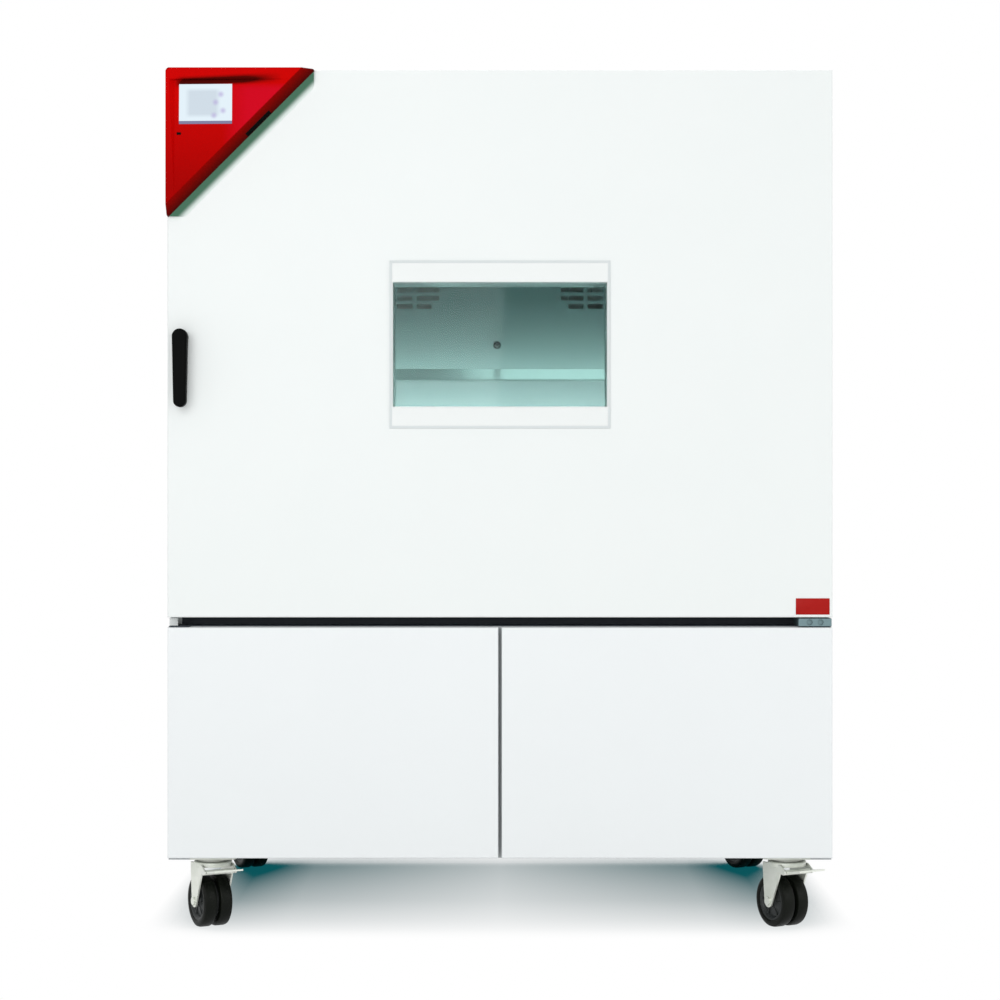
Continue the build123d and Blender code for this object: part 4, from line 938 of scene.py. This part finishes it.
@dataclass
class Chamber:
    """Stainless chamber with its baffle, fans, lamps and shelf."""

    finishes: Finishes

    def build(self) -> None:
        """Dresses the chamber's nodes."""
        f = self.finishes
        dress(f.liner, "chamber_liner", "door_liner")
        dress(f.baffle, "rear_baffle")
        dress(f.steel, "shelf_supports", "shelf_rack", "heater_element")
        dress(f.black_shell, "temperature_probe")
        dress(f.alloy, "circulation_fan_left", "circulation_fan_right", "evaporator_coil")
        dress(f.black_shell, "fan_motors")
        dress(f.lamp, "led_lamps")


@dataclass
class Machinery:
    """Refrigeration and humidifier parts behind the service doors."""

    finishes: Finishes

    def build(self) -> None:
        """Dresses the machine compartment's nodes."""
        f = self.finishes
        dress(f.black_shell, "compressor")
        dress(f.alloy, "condenser_coil")
        dress(f.frame, "condenser_shroud")
        dress(f.black, "condenser_fan")
        dress(f.copper, "refrigerant_pipes")
        dress(f.box, "electrical_box")
        dress(f.pale_plastic, "humidifier_boiler", "water_canister")


@dataclass
class Controller:
    """Three-cornered controller on the door's upper left corner, with its screen, socket and vent grille.

    Legs run from the corner along the door's top and left edges, and heights are off the door.
    """

    finishes: Finishes
    corner: Vector = field(default_factory=lambda: Vector((-0.785, -0.542, 2.040)))
    leg: float = 0.3514
    inner_leg: float = 0.3195
    proud: float = 0.033
    seat: float = 0.002
    foot: float = 0.008
    sink: float = 0.014
    top_band: float = 0.027
    side_band: float = 0.020
    round_mm: float = 9.0
    rear_leg: float = 0.389
    rear_tip: float = 0.346
    lip_start: float = 0.368
    lip_foot: float = 0.0008
    wall_slope: float = 0.014
    vent_along: float = 0.062
    vent_length: float = 0.078
    vent_width: float = 0.012
    vent_lift: float = 0.001
    vent_deep: float = 0.004
    vent_proud: float = 0.0003
    vent_ribs: int = 11
    rib_margin: float = 0.004
    rib_inset: float = 0.0015
    rib_half: float = 0.0012
    rib_proud: float = 0.0013
    socket_place: tuple[float, float] = (0.0307, 0.1545)
    socket_size: tuple[float, float] = (0.0100, 0.0060)
    socket_proud: float = 0.0008
    socket_deep: float = 0.003

    def build(self) -> None:
        """Makes the housing, its rear shell and fittings, and dresses the screen."""
        self._shell()
        self._rear_shell()
        self._vent()
        self._socket()
        low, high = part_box("controller_screen")
        # Colour display bonded behind a matt polyester film.
        screen = LitScreen("display_touch_film", "E4F2FA", "CFDCE6", "B9AEDC", "7C7A9C", Vector(low),
                           Vector(high))
        dress(screen.make(), "controller_screen")

    def _outline(self, bm: BMesh, spots: list[tuple[float, float]], front: float, back: float) -> None:
        """Adds a plate with rounded corners from its outline on the door.

        Args:
            bm: Geometry to add to.
            spots: Distance right of and below the corner for each point.
            front: Height of the plate's front off the door.
            back: Height of the plate's back off the door.
        """
        verts = [bm.verts.new(self.corner + Vector((right, -back, -down))) for right, down in spots]
        bm.faces.new(verts)
        bmesh.ops.bevel(bm, geom=verts, offset=self.round_mm * MM, segments=6, profile=0.5, affect="VERTICES",
                        material=-1)
        made = bmesh.ops.extrude_face_region(bm, geom=list(bm.faces))["geom"]
        raised = [item for item in made if isinstance(item, BMVert)]
        bmesh.ops.translate(bm, vec=(0, back - front, 0), verts=raised)

    def _slope_edge(self, bm: BMesh, inner: float, high: float, outer: float, low: float) -> None:
        """Cuts the long edge of a plate to a slope.

        Args:
            bm: Geometry of the plate.
            inner: Leg of the triangle where the slope starts.
            high: Height off the door at its start.
            outer: Leg of the triangle where it ends.
            low: Height off the door at its end.
        """
        slope = Vector((1, 0, -1)).normalized() * (high - low)
        slope += Vector((0, -1, 0)) * (outer - inner) / math.sqrt(2)
        bmesh.ops.bisect_plane(bm, geom=list(bm.verts) + list(bm.edges) + list(bm.faces),
                               plane_co=self.corner + Vector((inner, -high, 0)), plane_no=slope,
                               clear_outer=True)
        bmesh.ops.holes_fill(bm, edges=[edge for edge in bm.edges if edge.is_boundary])

    def _depth(self, point: Vector) -> float:
        """How far the tilted face lies behind the housing's front at a point."""
        away = (point.x - self.corner.x) + (self.corner.z - point.z)
        return self.sink * (1.0 - away / self.inner_leg)

    @staticmethod
    def _front_faces(bm: BMesh, front: float) -> list[bmesh.types.BMFace]:
        """Faces that lie in the housing's front plane."""
        return [face for face in bm.faces if all(abs(vert.co.y - front) < NEAR for vert in face.verts)]

    def _shell(self) -> None:
        """Red housing: rounded triangle with a sloping long edge and a sunken face that rises towards it."""
        bm = bmesh.new()
        self._outline(bm, [(0, 0), (0, self.leg), (self.leg, 0)], self.proud, self.seat)
        front = self.corner.y - self.proud
        self._slope_edge(bm, self.inner_leg, self.proud, self.leg, self.foot)
        for place, turn in ((Vector((self.side_band, 0, 0)), Vector((1, 0, 0))),
                            (Vector((0, 0, -self.top_band)), Vector((0, 0, 1)))):
            faces = self._front_faces(bm, front)
            geom = list({item for face in faces for item in (*face.verts, *face.edges, face)})
            bmesh.ops.bisect_plane(bm, geom=geom, plane_co=self.corner + place, plane_no=turn)
        inner = [face for face in self._front_faces(bm, front)
                 if face.calc_center_median().x > self.corner.x + self.side_band
                 and face.calc_center_median().z < self.corner.z - self.top_band]
        made = bmesh.ops.extrude_face_region(bm, geom=inner)["geom"]
        bmesh.ops.delete(bm, geom=inner, context="FACES_ONLY")
        for vert in made:
            if isinstance(vert, BMVert):
                vert.co.y += max(0.0, self._depth(vert.co))
        for vert in bm.verts:
            on_band = abs(vert.co.x - self.corner.x - self.side_band) < NEAR
            if abs(vert.co.y - front) < NEAR and on_band:
                vert.co.x -= min(self.wall_slope, self._depth(vert.co))
        bmesh.ops.remove_doubles(bm, verts=bm.verts, dist=0.01 * MM)
        bmesh.ops.dissolve_degenerate(bm, dist=NEAR, edges=bm.edges)
        # Moulded shell under a sprayed gloss lacquer. Painted shade darkens the face's foot, the hollow and
        # the slope, and a painted highlight lies on the face's right.
        lacquer = ControllerLacquer("abs_red_lacquer_painted_shade", "CB0302", "D00820", "A40201", "4E0300", "8C0502",
                                    "4A0A08", self.corner, self.leg, self.inner_leg)
        close_piece(bm, "controller_shell", "main_door", [lacquer.make()],
                    ("controller_housing",))

    def _rear_shell(self) -> None:
        """Flat moulding behind the housing that shows as a band along the long edge, coloured partly as the
        housing's shadow on the door.
        """
        bm = bmesh.new()
        end = self.rear_leg - self.rear_tip
        self._outline(bm, [(0, 0), (0, self.rear_tip), (end, self.rear_tip), (self.rear_tip, end),
                           (self.rear_tip, 0)], self.foot, 0.0)
        self._slope_edge(bm, self.lip_start, self.foot, self.rear_leg, self.lip_foot)
        # Injection-moulded shell in a dark grey-green that also stands in for the housing's shadow on the
        # door. It thins to a pale lip, painted as the shadow's soft edge.
        finish = RearShell("pc_abs_grey_green_moulded_shadow", "46705A", "E2ECE8", self.corner, self.lip_start,
                           self.rear_leg)
        close_piece(bm, "controller_rear_shell", "main_door", [finish.make()],
                    ("controller_housing",))

    def _vent(self) -> None:
        """Black grille on the sloping edge, above its middle, with fine ribs across it."""
        along = Vector((1, 0, 1)).normalized()
        run = (self.leg - self.inner_leg) / math.sqrt(2)
        rise = self.proud - self.foot
        up = (Vector((-1, 0, 1)).normalized() * run + Vector((0, -rise, 0))).normalized()
        out = along.cross(up)
        if out.y > 0:
            out = -out
        middle = self.corner + Vector((self.leg / 2, -self.foot, -self.leg / 2))
        middle += along * self.vent_along + up * (self.vent_width / 2 + self.vent_lift)
        place = Matrix((along, up, out)).transposed().to_4x4()
        place.translation = middle
        bm = bmesh.new()
        half_length, half_width = self.vent_length / 2, self.vent_width / 2
        made = add_box(bm, (-half_length, -half_width, -self.vent_deep),
                       (half_length, half_width, self.vent_proud), round_mm=0.4)
        rib_end = half_width - self.rib_inset
        for index in range(self.vent_ribs):
            x = (index / (self.vent_ribs - 1) - 0.5) * (self.vent_length - 2 * self.rib_margin)
            made += add_box(bm, (x - self.rib_half, -rib_end, 0.0),
                            (x + self.rib_half, rib_end, self.rib_proud), round_mm=0.3)
        bmesh.ops.transform(bm, matrix=place, verts=made)
        close_piece(bm, "controller_vent", "main_door", [self.finishes.black])

    def _socket(self) -> None:
        """Small black service socket, set in the face left of the middle."""
        right, down = self.socket_place
        half_width, half_height = (size / 2 for size in self.socket_size)
        centre = self.corner + Vector((right, 0, -down))
        face = self.corner.y - self.proud + self._depth(centre)
        bm = bmesh.new()
        add_box(bm, (centre.x - half_width, face - self.socket_proud, centre.z - half_height),
                (centre.x + half_width, face + self.socket_deep, centre.z + half_height), round_mm=0.5)
        close_piece(bm, "controller_socket", "main_door", [self.finishes.black])


@dataclass
class MainDoor:
    """Insulated door with its window, handle and bare plate, whose corners are metres right and up."""

    finishes: Finishes
    front: float = -0.542
    plate_low: tuple[float, float] = (0.698, 0.7545)
    plate_high: tuple[float, float] = (0.778, 0.793)
    plate_thickness: float = 0.8
    seal_width: float = 6.0
    seal_overlap: float = 3.5
    seal_proud: float = 0.5

    def build(self) -> None:
        """Dresses the door's nodes and adds its small pieces."""
        f = self.finishes
        dress(f.white, "door_skin")
        dress(f.trim, "window_frame")
        dress(f.glass, "window_outer_pane", "window_inner_panes")
        dress(f.black, "handle_lever")
        dress(f.steel, "handle_spindle")
        self._plate()
        self._window_line()

    def _plate(self) -> None:
        """Bare red plate in the door's lower right corner."""
        bm = bmesh.new()
        add_box(bm, (self.plate_low[0], self.front - self.plate_thickness * MM, self.plate_low[1]),
                (self.plate_high[0], self.front, self.plate_high[1]), round_mm=0.35)
        close_piece(bm, "bare_plate", "main_door", [self.finishes.bare_red])

    def _window_line(self) -> None:
        """Thin grey seal that shows all round the window frame."""
        low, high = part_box("window_frame")
        outside = (self.seal_width - self.seal_overlap) * MM
        front = low[1] - self.seal_proud * MM
        corners = [(low[0] - outside, low[2] - outside), (high[0] + outside, low[2] - outside),
                   (high[0] + outside, high[2] + outside), (low[0] - outside, high[2] + outside)]
        bm = bmesh.new()
        face = bm.faces.new([bm.verts.new((x, front, z)) for x, z in corners])
        bm.normal_update()
        bmesh.ops.inset_region(bm, faces=[face], thickness=self.seal_width * MM, depth=0.0,
                               use_boundary=True, use_even_offset=True)
        bmesh.ops.delete(bm, geom=[face], context="FACES")
        made = bmesh.ops.extrude_face_region(bm, geom=list(bm.faces))["geom"]
        raised = [item for item in made if isinstance(item, BMVert)]
        bmesh.ops.translate(bm, vec=(0, self.front - front, 0), verts=raised)
        close_piece(bm, "window_seal", "main_door", [self.finishes.line])


@dataclass
class ServiceDoors:
    """Two folded doors below the main door."""

    finishes: Finishes

    def build(self) -> None:
        """Dresses the service doors."""
        dress(self.finishes.service, "service_door_left", "service_door_right")


@dataclass
class Casters:
    """Four swivel casters with twin wheels, the front pair with brakes. Wheel sizes are millimetres."""

    finishes: Finishes
    corners: tuple[str, ...] = ("front_left", "front_right", "rear_left", "rear_right")
    radius: float = 62.5
    rim: float = 46.5
    half_width: float = 36.0
    half_split: float = 4.0
    bore: float = 6.5
    sleeve: float = 12.0
    sleeve_back: float = 2.0
    rim_back: float = 2.6
    ribs: int = 6
    rib_ends: tuple[float, float] = (15.0, 40.5)
    rib_half: float = 1.4
    rib_depths: tuple[float, float] = (12.0, 6.0)
    turn_steps: int = 56
    sleeve_steps: int = 32

    def build(self) -> None:
        """Dresses the forks and pedals and makes the wheels."""
        f = self.finishes
        joints = {joint["name"]: joint for joint in frame["record"]["behaviour"]["joints"]}
        for corner in self.corners:
            dress(f.fork, f"caster_fork_{corner}")
            joint = joints[f"caster_roll_{corner}"]
            self._wheel(corner, facing(Vector(joint["axis"]), Vector(joint["pos_m"])))
        dress(f.fork, "brake_pedal_front_left", "brake_pedal_front_right")

    def _wheel(self, corner: str, place: Matrix) -> None:
        """Twin wheel: two rubber tyres with rounded treads on one ribbed plastic hub.

        Args:
            corner: Which caster it belongs to.
            place: Axle frame, with Z along the axle.
        """
        bm = bmesh.new()
        r, rim, near, far = self.radius, self.rim, self.half_split, self.half_width
        for side in (-1, 1):
            tyre = [(rim, near + 0.6), (r - 5, near), (r - 1.6, near + 1.8), (r, near + 6), (r, far - 8),
                    (r - 1.6, far - 3), (r - 6, far - 0.4), (rim + 4, far), (rim, far - 1.5),
                    (rim, near + 0.6)]
            add_round(bm, [(radius, side * height) for radius, height in tyre], place, steps=self.turn_steps)
            web = [(self.sleeve, far - 3.5), (14, far - 3.5), (15.5, far - 7), (37, far - 11), (41, far - 4),
                   (44, far - 2.4), (rim, far - self.rim_back)]
            add_round(bm, [(radius, side * height) for radius, height in web], place, steps=self.turn_steps,
                      material=1)
            self._ribs(bm, side, place)
        rim_end = far - self.rim_back
        add_round(bm, [(rim, -rim_end), (rim, rim_end)], place, steps=self.turn_steps, material=1)
        end = far - self.sleeve_back
        sleeve = [(self.bore, -end), (self.sleeve, -end), (self.sleeve, end), (self.bore, end),
                  (self.bore, -end)]
        add_round(bm, sleeve, place, steps=self.sleeve_steps, material=1)
        close_piece(bm, f"twin_wheel_{corner}", f"caster_wheel_{corner}",
                    [self.finishes.tyre, self.finishes.hub], (f"caster_wheel_{corner}",), smooth=40.0)

    def _ribs(self, bm: BMesh, side: int, place: Matrix) -> None:
        """Ribs between the sleeve and the rim on one side of the hub.

        Args:
            bm: Geometry of the wheel.
            side: Which end of the axle, as a sign.
            place: Axle frame, with Z along the axle.
        """
        low, high = sorted(side * (self.half_width - depth) * MM for depth in self.rib_depths)
        start, end = (radius * MM for radius in self.rib_ends)
        half = self.rib_half * MM
        for index in range(self.ribs):
            turn = place @ Matrix.Rotation(math.tau * index / self.ribs, 4, "Z")
            known = set(bm.faces)
            made = add_box(bm, (start, -half, low), (end, half, high), round_mm=0.5)
            bmesh.ops.transform(bm, matrix=turn, verts=made)
            for face in bm.faces:
                if face not in known:
                    face.material_index = 1


def main() -> None:
    """Builds the studio and every sub-assembly in order."""
    logging.basicConfig(level=logging.INFO, format="%(message)s")
    Studio().build()
    finishes = Finishes()
    Cabinet(finishes).build()
    Chamber(finishes).build()
    Machinery(finishes).build()
    MainDoor(finishes).build()
    Controller(finishes).build()
    ServiceDoors(finishes).build()
    Casters(finishes).build()


if __name__ == "__main__":
    main()
